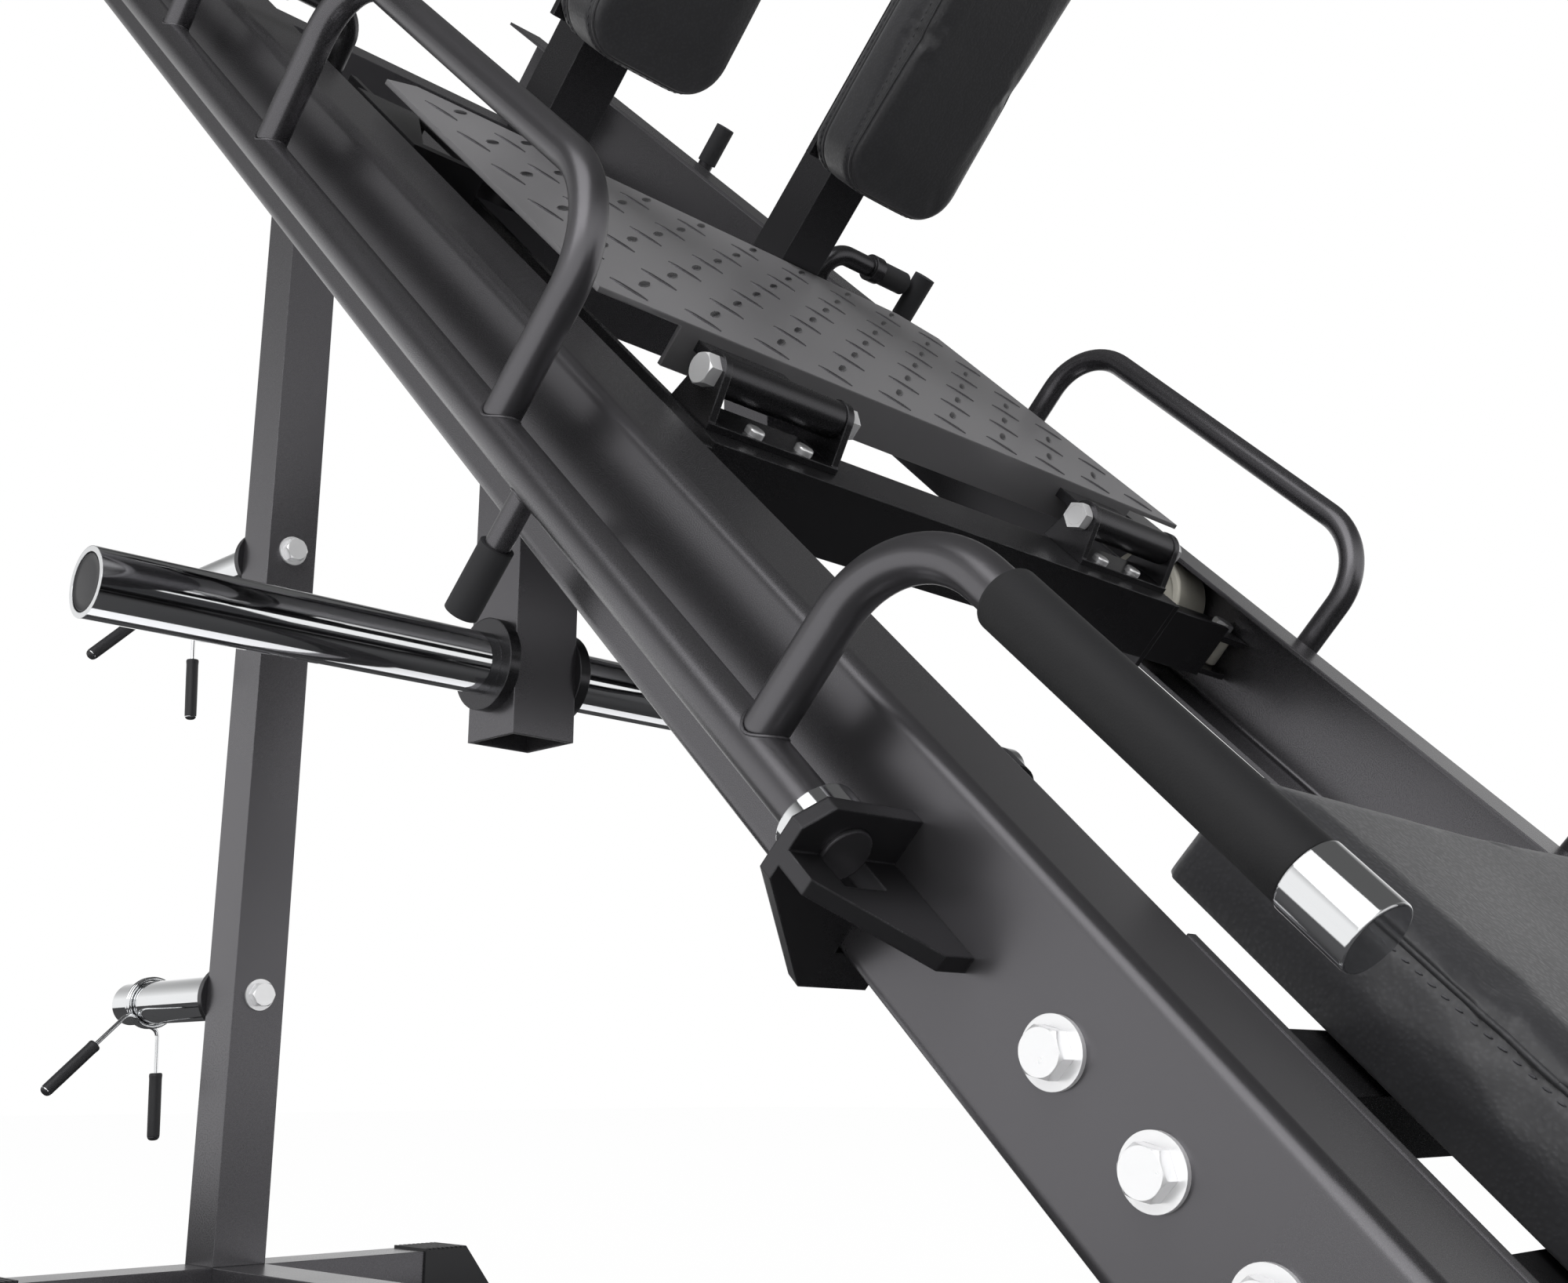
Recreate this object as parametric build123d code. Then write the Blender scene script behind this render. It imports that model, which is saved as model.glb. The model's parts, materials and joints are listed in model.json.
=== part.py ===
"""Leg press hack squat machine: a sled on two sloping guide rails.

Millimetres, Z up, X across the machine, Y from the user's end to the rear.
Most pieces are laid out in the rail frame (x, s, m): s runs up the rails and m
stands square to them, with m = 0 on the rails' upper face.  slope turns that
frame into the machine frame, where the rails' upper face meets the floor line.
"""
import os
from math import acos, atan2, ceil, cos, hypot, pi, radians, sin, sqrt

from build123d import *

os.makedirs("parts", exist_ok=True)

# General
slope = 45
overrun = 20
running_gap = 0.1
seat_gap = 0.3
plate = 6
tube_wall = 3
beam = 60

# Guide rails
half_width = 400
rail_height = 100
rail_depth = 60
rail_wall = 4
rail_bend = 8
rail_low = 240
rail_top = 2500

# Rail end plates and their bolts
end_plate_low = 245
end_plate_high = 426
end_plate_rise = 1
rail_bolt_first = 290
rail_bolt_pitch = 60
rail_bolt_count = 3
rail_bolt_radius = 6
rail_bolt_flats = 19
rail_bolt_head = 8
washer_radius = 14.75
washer_thickness = 2.5
boss_radius = 15

# Base frame
front_beam_y = 160
upright_y = 1674
rear_foot_half = 231
cap_length = 95
cap_flat = 55
cap_proud = 3
cap_toe = 12
ridge_count = 9
ridge_depth = 2
cross_beam_low = 2237

# Storage horns and their spring collars
horn_radius = 25
horn_wall = 4
horn_length = 240
horn_plug = 30
horn_heights = (340, 849)
flange_radius = 37.5
horn_flange_thickness = 8
horn_bolt_radius = 8
horn_bolt_flats = 24
horn_bolt_head = 10
horn_washer_radius = 17
spring_wire = 5
spring_gap = 1
spring_clearance = 0.5
spring_place = 182
spring_start_degrees = 225
spring_turn_degrees = 768
spring_bend = 12
spring_tail = 43
collar_grip_radius = 7
collar_grip_length = 76
collar_grip_round = 4.5

# Lockout tubes outside the rails
lockout_gap = 34
lockout_m = -48
lockout_low = 520
lockout_high = 2110
lockout_radius = 13
lockout_plug = 6
bracket_plate = 8
bracket_low = 522
bracket_high = 2100
bracket_top_drop = 27
bracket_border = 31
bracket_chamfer = 12
bracket_side_drop = 65
bracket_foot_out = 9
bracket_foot_drop = 120
bracket_hook = 35
gusset_drop = 50
gusset_length = 59
gusset_slant = 18
collar_radius = 19.5
collar_length = 13
collar_gap = 1
handle_radius = 11
handle_wall = 2.5
loop_rise = 98
loop_bend = 60
loop_first = 890
loop_last = 1306
j_leg = 596
j_rise = 79
j_bend = 58
j_end = 330
grip_start = 526
grip_end = 357
grip_radius = 14.4
grip_round = 2
cap_round = 1
cap_end = 326
cap_radius = 15
low_peg = 835
low_peg_radius = 7.5
low_sleeve_radius = 10
low_sleeve = (-136, -92)
stop_pegs = (1560, 2035)
peg_radius = 10
sleeve_radius = 12.5
stop_sleeve = (0, 52)
sleeve_end = 5

# Travel stops
bumper_radius = 22
bumper_length = 18
bumper_round = 5
bumper_inset = 75
bumper_m = -27
low_stop = 541
stop_plate = 8
low_stop_top = -16
carriage_travel_up = 800

# Carriage
carriage_gap = 78
carriage_front = 915
carriage_border = 27
side_plate_low = -86
carriage_top = -20
channel_depth = 60
channel_drop = 54
channel_wall = 4
shelf_start = 1309
shelf_end = 1433
shelf_gap = 7
shelf_plate = 4
shelf_flange = 34
shelf_border = 14
upper_beam_lead = 103
upper_beam_depth = 85
deck_plate = 6
deck_border = 15
rest_radius = 14
rest_x = 220
rest_s = 1390

# Wheels
wheel_radius = 44
wheel_inset = 55
wheel_width = 46
front_wheel_s = 1010
rear_wheel_s = 1440
axle_radius = 10
axle_collar = 14
axle_head_radius = 16
axle_head = 6
axle_washer = 2.7
wheel_recess = 3
wheel_recess_inner = 22
wheel_recess_outer = 37
roller_radius = 15
roller_length = 28
roller_chamfer = 1.5
roller_s = 941
roller_m = -52
fork_plate = 5
fork_half_gap = 0.5
fork_front = 915
fork_rear = 960
fork_inset = 8
fork_web_inset = 48
fork_web_low = -74
fork_web_high = -24
roller_pin_radius = 5
roller_pin_flats = 17
roller_pin_head = 6

# Footplate and its hinges
plate_thickness = 4
footplate_gap = 6
footplate_front = 1010
footplate_rear = 1422
footplate_m = 22
footplate_lip = 34
footplate_corner_x = 40
footplate_corner_s = 30
hinge_s = 958
hinge_m = 10
barrel_radius = 13.5
barrel_length = 108
barrel_inset = 4
hinge_bolt_radius = 8
hinge_bolt_flats = 20
hinge_bolt_head = 10
ear_radius = 14.5
ear_foot = 24
ear_plate = 6
hinge_base = 5
hinge_tab = 8
hinge_tab_border = 14
small_bolt_head_radius = 7
small_bolt_head = 5
small_bolt_round = 2
small_bolt_offsets = (24, 70)
small_bolt_s = 942

# Loading arms and bar
arm_inner = 110
arm_front_y = 996
arm_bottom_z = 510
bar_y = 1026
bar_z = 569
bar_half = 502
bar_radius = 25
bar_wall = 4
bar_seat_radius = 24.5
bar_flange = 10

# Shoulder posts, pads and catch arms
post_inner = 126
post_size = 50
post_front = 1425
post_high = 400
socket_wall = 4.7
socket_high = 12
backing_plate = 6
backing_border = 10
shoulder_pad_width = 150
shoulder_pad_length = 300
shoulder_pad_thickness = 69
shoulder_pad_low = 112
shoulder_pad_corner = 42
catch_lead = 8
catch_m = 33
catch_root_m = -45
catch_inset = 40
catch_bend = 24
catch_radius = 11
catch_gap = 4.5
catch_sleeve_length = 44
catch_sleeve_radius = 13
catch_sleeve_chamfer = 1.5
catch_ring_length = 14
catch_ring_radius = 15

# Seat and backrest
seat_half = 250
seat_low = 218
seat_high = 508
seat_base = -20
seat_thickness = 67
seat_corner = 14
seat_board_border = 24
board = 4
board_border = 10
seat_tube = 40
seat_tube_starts = (238, 360)
backrest_pivot_s = 119
backrest_pivot_m = 0
backrest_tube_low = -20
backrest_tube_high = 620
backrest_half = 230
backrest_low = 60
backrest_length = 600
backrest_thickness = 67
backrest_corner = 40
backrest_ear = 8
backrest_pin_radius = 8
backrest_recline = 20
clamp_back = 75
clamp_up = 90
clamp_radius = 6
clamp_head_radius = 10
clamp_head = 8
lug_half = 20
ear_rim = 20
knob_radius = 25
knob_length = 22
knob_lobes = 6
knob_lobe_radius = 8

# Cushion form
cushion_crown = 7
cushion_draw = 4
cushion_edge = 12

# Standing plate at the user's end
stand_half = 300
stand_front_y = -400
stand_rear_y = -60
stand_front_z = 184
stand_sheet = 5
stand_cheek = 6

# Derived places
root_half = 1 / sqrt(2)
rail_inner = half_width - rail_depth
web_inner = half_width - rail_wall
front_beam_half = rail_inner
wheel_m = -rail_height + rail_wall + seat_gap + wheel_radius
arm_outer = arm_inner + beam
end_plate_inner = rail_inner - plate
lockout_x = half_width + lockout_gap
bracket_edge = lockout_x + bracket_border
bumper_x = half_width - bumper_inset
carriage_half = rail_inner - carriage_gap
shelf_edge = rail_inner - shelf_gap
wheel_inner = half_width - wheel_inset
footplate_half = rail_inner - footplate_gap
barrel_outer = carriage_half - barrel_inset
barrel_inner = barrel_outer - barrel_length
upper_beam_start = post_front - upper_beam_lead
deck_end = post_front + post_size + deck_border
catch_s = stop_pegs[0] + catch_lead
catch_end = lockout_x - sleeve_radius - catch_gap
carriage_rear = catch_s + carriage_border
roller_x = web_inner - seat_gap - roller_radius
stop_face = low_stop + stop_plate + bumper_length
high_stop = rear_wheel_s + wheel_radius + carriage_travel_up + seat_gap + bumper_length
horn_start = upright_y + beam + horn_flange_thickness
machine_rear = horn_start + horn_length
middle_y = (stand_front_y + machine_rear) / 2


def block(xs, ys, zs):
    """Box between two corners given as pairs."""
    size = [high - low for low, high in (xs, ys, zs)]
    centre = [(high + low) / 2 for low, high in (xs, ys, zs)]
    return Pos(*centre) * Box(*size)


def hollow_block(xs, ys, zs, wall, axis):
    """Square tube along axis (0 = x, 1 = y, 2 = z), open at both ends."""
    spans = [xs, ys, zs]
    inner = [(low + wall, high - wall) for low, high in spans]
    low, high = spans[axis]
    inner[axis] = (low - overrun, high + overrun)
    return block(*spans) - block(*inner)


def rod(radius, start, direction, length):
    """Round bar from a start point along a direction."""
    return extrude(Plane(origin=start, z_dir=direction) * Circle(radius), length)


def rod_x(radius, low, high, y, z):
    return rod(radius, (low, y, z), (1, 0, 0), high - low)


def rod_s(radius, low, high, x, m):
    return rod(radius, (x, low, m), (0, 1, 0), high - low)


def rod_m(radius, low, high, x, s):
    return rod(radius, (x, s, low), (0, 0, 1), high - low)


def bore_x(radius, low, high, y, z):
    """Cutter for a hole along x through a piece that reaches from low to high."""
    return rod_x(radius, low - overrun, high + overrun, y, z)


def bore_s(radius, low, high, x, m):
    """Cutter for a hole along s through a piece that reaches from low to high."""
    return rod_s(radius, low - overrun, high + overrun, x, m)


def incline(shape):
    """From the rail frame to the machine frame."""
    return Rot(slope, 0, 0) * shape


def to_machine(s, m):
    """(Y, Z) of a point given by its rail coordinates."""
    turn = radians(slope)
    return (s * cos(turn) - m * sin(turn), s * sin(turn) + m * cos(turn))


def flip(shape):
    """The same piece on the other side of the machine."""
    return mirror(shape, about=Plane.YZ)


def pair(shape):
    return [shape, flip(shape)]


def plate_x(points, low, high):
    """Plate cut to an outline of (y, z) points, from x = low to x = high."""
    outline = make_face(Polyline(*points, close=True))
    return extrude(Plane((low, 0, 0), x_dir=(0, 1, 0), z_dir=(1, 0, 0)) * outline, high - low)


def hexagon(flats, height):
    """Hexagon head standing on z = 0, its corners turned off at the top."""
    corner = flats / sqrt(3)
    prism = extrude(RegularPolygon(flats / 2, 6, major_radius=False), height)
    turned = extrude(Circle(corner), height)
    turned = chamfer(turned.edges().sort_by(Axis.Z)[-1], corner - flats / 2)
    return prism & turned


def bolt(shank_radius, shank_length, flats, head):
    """Hexagon bolt whose head stands on z = 0 and whose shank points down."""
    return hexagon(flats, head) + rod(shank_radius, (0, 0, 0), (0, 0, -1), shank_length)


def ring(outer, inner, height):
    return extrude(Circle(outer) - Circle(inner), height)


def nut(flats, bore, height):
    return hexagon(flats, height) - rod(bore, (0, 0, -overrun), (0, 0, 1), height + 2 * overrun)


def facing_x(x, y, z):
    """Location whose local z axis points along +x."""
    return Pos(x, y, z) * Rot(0, 90, 0)


def save(name, solids):
    """Write one node, with the origin on the floor at the middle of the length."""
    group = Compound(children=[Pos(0, -middle_y, 0) * solid for solid in solids])
    export_step(group, os.path.join("parts", name + ".step"))


def cushion(width, length, thickness, corner):
    """Upholstered pad on z = 0: crowned top, drawn-in sides, round corners."""

    def outline(half):
        foot = half - cushion_draw
        shoulder = thickness - cushion_crown - cushion_edge
        crest = foot - cushion_edge
        bend = cushion_edge * root_half
        right = [
            ThreePointArc((foot, 0), (half, shoulder / 2), (foot, shoulder)),
            ThreePointArc((foot, shoulder), (crest + bend, shoulder + bend), (crest, shoulder + cushion_edge)),
        ]
        left = [mirror(edge, about=Plane.YZ) for edge in right]
        top = ThreePointArc((crest, shoulder + cushion_edge), (0, thickness), (-crest, shoulder + cushion_edge))
        base = Line((-foot, 0), (foot, 0))
        return make_face([base, *right, top, *left])

    across = extrude(Plane.XZ * outline(width / 2), length / 2, both=True)
    along = extrude(Plane.YZ * outline(length / 2), width / 2, both=True)
    plan = extrude(RectangleRounded(width, length, corner), thickness)
    return across & along & plan


def guide_rail():
    """Folded channel, open inwards, with the plates that carry the stops."""
    outer = block((rail_inner, half_width), (rail_low, rail_top), (-rail_height, 0))
    outer = fillet(outer.edges().filter_by(Axis.Y).group_by(Axis.X)[-1], rail_bend)
    inside = block(
        (rail_inner - overrun, web_inner),
        (rail_low - overrun, rail_top + overrun),
        (-rail_height + rail_wall, -rail_wall),
    )
    inside = fillet(inside.edges().filter_by(Axis.Y).group_by(Axis.X)[-1], rail_bend - rail_wall)
    rail = outer - inside
    clear_height = (-rail_height + rail_wall, -rail_wall)
    low_height = (-rail_height + rail_wall, low_stop_top)
    rail += block((bumper_x - bumper_radius, web_inner), (low_stop, low_stop + stop_plate), low_height)
    rail += block((rail_inner, web_inner), (high_stop, high_stop + stop_plate), clear_height)
    for s in rail_bolt_places():
        rail -= bore_x(rail_bolt_radius + running_gap, web_inner, half_width, s, -rail_height / 2)
    return incline(rail)


def rail_bolt_places():
    return [rail_bolt_first + rail_bolt_pitch * step for step in range(rail_bolt_count)]


def rail_end_plate():
    """Plate in the mouth of the rail's low end, standing on the front beam."""
    corners = [
        to_machine(end_plate_high, end_plate_rise),
        to_machine(end_plate_high, -rail_height),
        to_machine(end_plate_low, -rail_height),
        (front_beam_y + beam, beam),
        (front_beam_y, beam),
        to_machine(end_plate_low, end_plate_rise),
    ]
    sheet = plate_x(corners, end_plate_inner, rail_inner)
    middle = -rail_height / 2
    for s in rail_bolt_places():
        sheet += incline(rod_x(boss_radius, rail_inner, web_inner, s, middle))
        sheet -= incline(bore_x(rail_bolt_radius + running_gap, end_plate_inner, web_inner, s, middle))
    return sheet


def rail_bolts():
    """Through bolts of one rail end, with a washer and a nut each."""
    pieces = []
    shank = half_width + washer_thickness - end_plate_inner + rail_bolt_head + washer_thickness
    for s in rail_bolt_places():
        washer = ring(washer_radius, rail_bolt_radius + running_gap, washer_thickness)
        head = bolt(rail_bolt_radius, shank, rail_bolt_flats, rail_bolt_head)
        lock = nut(rail_bolt_flats, rail_bolt_radius + running_gap, rail_bolt_head)
        middle = -rail_height / 2
        pieces.append(incline(facing_x(half_width, s, middle) * washer))
        pieces.append(incline(facing_x(half_width + washer_thickness, s, middle) * head))
        pieces.append(incline(facing_x(end_plate_inner - rail_bolt_head, s, middle) * lock))
    return pieces


def foot_cap(start, y):
    """Wedge-ended cap on a foot beam, with a ridged flat on top."""
    top = beam + cap_proud
    end = start + cap_length
    points = [(start, 0), (end, 0), (end, cap_toe), (start + cap_flat, top), (start, top)]
    outline = make_face(Polyline(*points, close=True))
    width = beam + 2 * cap_proud
    cap = extrude(Plane((0, y - cap_proud, 0), x_dir=(1, 0, 0), z_dir=(0, -1, 0)) * outline, -width)
    ridge_pitch = cap_flat / ridge_count
    for step in range(ridge_count):
        x = start + ridge_pitch * (step + 1 / 2)
        groove = block(
            (x, x + ridge_pitch / 2),
            (y - cap_proud - overrun, y + beam + cap_proud + overrun),
            (top - ridge_depth, top + overrun),
        )
        cap -= groove
    return cap


def rear_upright():
    """Square post whose top is cut to the underside of the top cross beam."""
    tall = hollow_block((-beam / 2, beam / 2), (upright_y, upright_y + beam), (beam, rail_top), tube_wall, 2)
    underside = -rail_height - beam
    reach = 2 * rail_top
    waste = block((-beam, beam), (-reach, reach), (underside, reach))
    post = tall - incline(waste)
    for z in horn_heights:
        post -= rod(horn_bolt_radius + running_gap, (0, upright_y - overrun, z), (0, 1, 0), beam + 2 * overrun)
    return post


def storage_horn(z):
    horn = rod(horn_radius, (0, horn_start, z), (0, 1, 0), horn_length)
    horn -= rod(horn_radius - horn_wall, (0, horn_start + horn_plug, z), (0, 1, 0), horn_length)
    horn -= rod(horn_bolt_radius + running_gap, (0, horn_start - overrun, z), (0, 1, 0), horn_plug + overrun)
    return horn


def horn_flange(z):
    disc = rod(flange_radius, (0, upright_y + beam, z), (0, 1, 0), horn_flange_thickness)
    return disc - rod(horn_bolt_radius + running_gap, (0, upright_y, z), (0, 1, 0), beam + 2 * overrun)


def horn_bolt(z):
    """Bolt from the post's front face into the horn, and its washer."""
    reach = washer_thickness + beam + horn_flange_thickness + horn_plug - seat_gap
    screw = bolt(horn_bolt_radius, reach, horn_bolt_flats, horn_bolt_head)
    washer = ring(horn_washer_radius, horn_bolt_radius + running_gap, washer_thickness)
    return [
        Pos(0, upright_y - washer_thickness, z) * Rot(90, 0, 0) * screw,
        Pos(0, upright_y, z) * Rot(90, 0, 0) * washer,
    ]


def coil_radius():
    return horn_radius + spring_clearance + spring_wire / 2


def coil_angles(steps):
    """Even angles in radians from one end of the collar's coil to the other."""
    start = radians(spring_start_degrees)
    total = radians(spring_turn_degrees)
    return [start + total * step / steps for step in range(steps + 1)]


def coil_point(angle, z):
    """Point and unit tangent of the collar's coil at an angle in radians."""
    radius = coil_radius()
    rise = (spring_wire + spring_gap) / (2 * pi)
    along = horn_start + spring_place + rise * (angle - radians(spring_start_degrees))
    point = Vector(radius * cos(angle), along, z + radius * sin(angle))
    tangent = Vector(-radius * sin(angle), rise, radius * cos(angle)).normalized()
    return point, tangent


def biarc(start, start_tangent, end, end_tangent):
    """Two tangent arcs from start to end."""
    chord = end - start
    tangents = start_tangent + end_tangent
    square = 2 * (start_tangent.dot(end_tangent) - 1)
    linear = -2 * chord.dot(tangents)
    reach = (-linear - sqrt(linear**2 - 4 * square * chord.dot(chord))) / (2 * square)
    first = start + start_tangent * reach
    second = end - end_tangent * reach
    joint = (first + second) * (1 / 2)
    return [
        TangentArc(start, joint, tangent=start_tangent),
        TangentArc(joint, end, tangent=second - first),
    ]


def spring_collar(z):
    """Spring wire clip round a storage horn: one tube, and two grips on its tails."""
    angles = coil_angles(ceil(radians(spring_turn_degrees) / (pi / 2)))
    places = [coil_point(angle, z) for angle in angles]
    edges = []
    for (start, leave), (end, arrive) in zip(places, places[1:]):
        edges += biarc(start, leave, end, arrive)
    first, first_way = places[0]
    last, last_way = places[-1]
    first_out = Vector(cos(angles[0]), 0, sin(angles[0]))
    last_out = Vector(cos(angles[-1]), 0, sin(angles[-1]))
    first_bend = first + (first_out - first_way) * spring_bend
    last_bend = last + (last_out + last_way) * spring_bend
    low_end = first_bend + first_out * spring_tail
    far_end = last_bend + last_out * spring_tail
    path = Wire([
        Line(low_end, first_bend),
        *biarc(first_bend, first_out * -1, first, first_way),
        *edges,
        *biarc(last, last_way, last_bend, last_out),
        Line(last_bend, far_end),
    ])
    section = Plane(origin=low_end, z_dir=first_out * -1) * Circle(spring_wire / 2)
    wire = sweep(section, path=path)
    grips = []
    for end, way in ((low_end, first_out), (far_end, last_out)):
        grip = rod(collar_grip_radius, end, way, collar_grip_length)
        tip = grip.faces().sort_by(lambda face: (face.center() - end).dot(way))[-1]
        grips.append(fillet(tip.edges(), collar_grip_round))
    return [wire, *grips]


def print_spring_gap():
    """Least distance from the coil's wire to its own next turn."""
    count = 240
    angles = coil_angles(count)
    points = [coil_point(angle, 0)[0] for angle in angles]
    least = min(
        (points[b] - points[a]).length
        for a in range(count + 1)
        for b in range(a + 1, count + 1)
        if angles[b] - angles[a] > pi
    )
    print("spring collar: least gap to itself", round(least - spring_wire, 2), "mm")


def lockout_tube():
    """Turning tube beside the rail, closed at its low end, with a peg below and two above."""
    tube = rod_s(lockout_radius, lockout_low, lockout_high, lockout_x, lockout_m)
    inner = lockout_radius - tube_wall
    tube -= rod_s(inner, lockout_low + lockout_plug, lockout_high + overrun, lockout_x, lockout_m)
    low_end = low_sleeve[0] + sleeve_end
    tube += rod_m(low_peg_radius, low_end, lockout_m - lockout_radius / 2, lockout_x, low_peg)
    high_end = stop_sleeve[1] - sleeve_end
    for s in stop_pegs:
        tube += rod_m(peg_radius, lockout_m + lockout_radius / 2, high_end, lockout_x, s)
    return incline(tube)


def peg_sleeves():
    low = rod_m(low_sleeve_radius, *low_sleeve, lockout_x, low_peg)
    low -= rod_m(low_peg_radius, low_sleeve[0] + sleeve_end, low_sleeve[1] + overrun, lockout_x, low_peg)
    sleeves = [incline(low)]
    for s in stop_pegs:
        sleeve = rod_m(sleeve_radius, *stop_sleeve, lockout_x, s)
        sleeve -= rod_m(peg_radius, stop_sleeve[0] - overrun, stop_sleeve[1] - sleeve_end, lockout_x, s)
        sleeves.append(incline(sleeve))
    return sleeves


def bent_tube(points, bend):
    """Round tube along a line of (s, m) points beside the rail."""
    path = FilletPolyline(*[(lockout_x, s, m) for s, m in points], radius=bend)
    section = Circle(handle_radius) - Circle(handle_radius - handle_wall)
    tube = sweep(Plane(origin=path @ 0, z_dir=path % 0) * section, path=path)
    saddle = rod_s(lockout_radius, lockout_low, lockout_high, lockout_x, lockout_m)
    return incline(tube - saddle)


def loop_handle():
    low_leg = [(loop_first, lockout_m), (loop_first, loop_rise)]
    high_leg = [(loop_last, loop_rise), (loop_last, lockout_m)]
    return bent_tube(low_leg + high_leg, loop_bend)


def j_handle():
    return bent_tube([(j_leg, lockout_m), (j_leg, j_rise), (j_end, j_rise)], j_bend)


def foam_grip():
    grip = rod_s(grip_radius, grip_end, grip_start, lockout_x, j_rise)
    grip = fillet(grip.edges().filter_by(GeomType.CIRCLE), grip_round)
    return incline(grip - bore_s(handle_radius, grip_end, grip_start, lockout_x, j_rise))


def grip_cap():
    cap = rod_s(cap_radius, cap_end, grip_end, lockout_x, j_rise)
    cap = fillet(cap.edges().group_by(Axis.Y)[0], cap_round)
    return incline(cap - rod_s(handle_radius, j_end, grip_end + overrun, lockout_x, j_rise))


def shaft_collar():
    start = bracket_low + bracket_plate + collar_gap
    end = start + collar_length
    body = rod_s(collar_radius, start, end, lockout_x, lockout_m)
    return incline(body - bore_s(lockout_radius, start, end, lockout_x, lockout_m))


def lockout_bracket(start, upward):
    """Bearing plate for the lockout tube with its gusset below or above it."""
    outline = [
        (half_width, -bracket_top_drop),
        (bracket_edge - bracket_chamfer, -bracket_top_drop),
        (bracket_edge, -bracket_top_drop - bracket_chamfer),
        (bracket_edge, -bracket_side_drop),
        (half_width + bracket_foot_out, -bracket_foot_drop),
        (half_width - bracket_hook, -bracket_foot_drop),
        (half_width - bracket_hook, -rail_height),
        (half_width, -rail_height),
    ]
    face = make_face(Polyline(*outline, close=True))
    bearing = extrude(Plane((0, start, 0), x_dir=(1, 0, 0), z_dir=(0, -1, 0)) * face, -bracket_plate)
    near = start + bracket_plate if upward else start
    way = 1 if upward else -1
    shape = [
        (half_width, near),
        (bracket_edge, near),
        (bracket_edge, near + way * gusset_slant),
        (half_width + gusset_slant, near + way * gusset_length),
        (half_width, near + way * gusset_length),
    ]
    gusset = extrude(Plane.XY * make_face(Polyline(*shape, close=True)), bracket_plate)
    bracket = bearing + Pos(0, 0, -gusset_drop - bracket_plate) * gusset
    bearing_radius = lockout_radius + running_gap
    return incline(bracket - bore_s(bearing_radius, start, start + bracket_plate, lockout_x, lockout_m))


def travel_bumpers():
    low = rod_s(bumper_radius, low_stop + stop_plate, stop_face, bumper_x, bumper_m)
    low = fillet(low.edges().group_by(Axis.Y)[-1], bumper_round)
    middle_x = wheel_inner + wheel_width / 2
    high = rod_s(bumper_radius, high_stop - bumper_length, high_stop, middle_x, wheel_m)
    return [incline(low), incline(high)]


def cross_channel():
    """Folded front member of the carriage, open to the rear."""
    xs = (-carriage_half, carriage_half)
    ys = (carriage_front, carriage_front + channel_depth)
    zs = (carriage_top - channel_drop, carriage_top)
    hollow_y = (carriage_front + channel_wall, carriage_front + channel_depth + overrun)
    inner = (zs[0] + channel_wall, zs[1] - channel_wall)
    return incline(block(xs, ys, zs) - block((xs[0] - overrun, xs[1] + overrun), hollow_y, inner))


def carriage_side():
    """Side plate with the outboard shelf over the rear wheel bracket."""
    outer = carriage_half + plate
    side = block((carriage_half, outer), (carriage_front, carriage_rear), (side_plate_low, carriage_top))
    shelf = block((outer, shelf_edge), (shelf_start, shelf_end), (-shelf_plate, 0))
    for s in (shelf_start, shelf_end - shelf_plate):
        shelf += block((outer, shelf_edge), (s, s + shelf_plate), (-shelf_flange, 0))
    window = [
        (outer + shelf_border, shelf_start + shelf_border),
        (shelf_edge - shelf_border, shelf_start + shelf_border),
        (outer + shelf_border, shelf_end - shelf_border),
    ]
    opening = extrude(Plane.XY * make_face(Polyline(*window, close=True)), overrun, both=True)
    side += shelf - opening
    for s in (front_wheel_s, rear_wheel_s):
        side -= bore_x(axle_radius + running_gap, carriage_half, outer, s, wheel_m)
    return incline(side)


def upper_beam():
    """Beam over the loading arms, with the deck, post sockets and footplate rests."""
    xs = (-carriage_half, carriage_half)
    beam_s = (upper_beam_start, upper_beam_start + upper_beam_depth)
    under_deck = carriage_top - deck_plate
    body = hollow_block(xs, beam_s, (side_plate_low, under_deck), tube_wall, 0)
    body += block(xs, (upper_beam_start, deck_end), (under_deck, carriage_top))
    post_middle = post_front + post_size / 2
    outside = post_size / 2 + socket_wall
    inside = post_size / 2 + seat_gap
    for side in (-1, 1):
        x = side * (post_inner + post_size / 2)
        socket = block(
            (x - outside, x + outside),
            (post_middle - outside, post_middle + outside),
            (carriage_top, socket_high),
        )
        socket -= block(
            (x - inside, x + inside),
            (post_middle - inside, post_middle + inside),
            (carriage_top, socket_high + overrun),
        )
        body += socket
        rest_top = footplate_m - plate_thickness - seat_gap
        body += rod_m(rest_radius, carriage_top, rest_top, side * rest_x, rest_s)
    return incline(body)


def loading_arm():
    """Vertical square tube under the carriage, bored for the loading bar."""
    arm = hollow_block(
        (arm_inner, arm_outer),
        (arm_front_y, arm_front_y + beam),
        (arm_bottom_z, rail_top),
        tube_wall,
        2,
    )
    reach = 2 * rail_top
    arm -= incline(block((-reach, reach), (-reach, reach), (side_plate_low, reach)))
    return arm - bore_x(bar_seat_radius + running_gap, arm_inner, arm_outer, bar_y, bar_z)


def bar_flanges():
    discs = []
    for start in (arm_inner - bar_flange, arm_outer):
        disc = rod_x(flange_radius, start, start + bar_flange, bar_y, bar_z)
        discs.append(disc - bore_x(bar_seat_radius + running_gap, start, start + bar_flange, bar_y, bar_z))
    return discs


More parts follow.
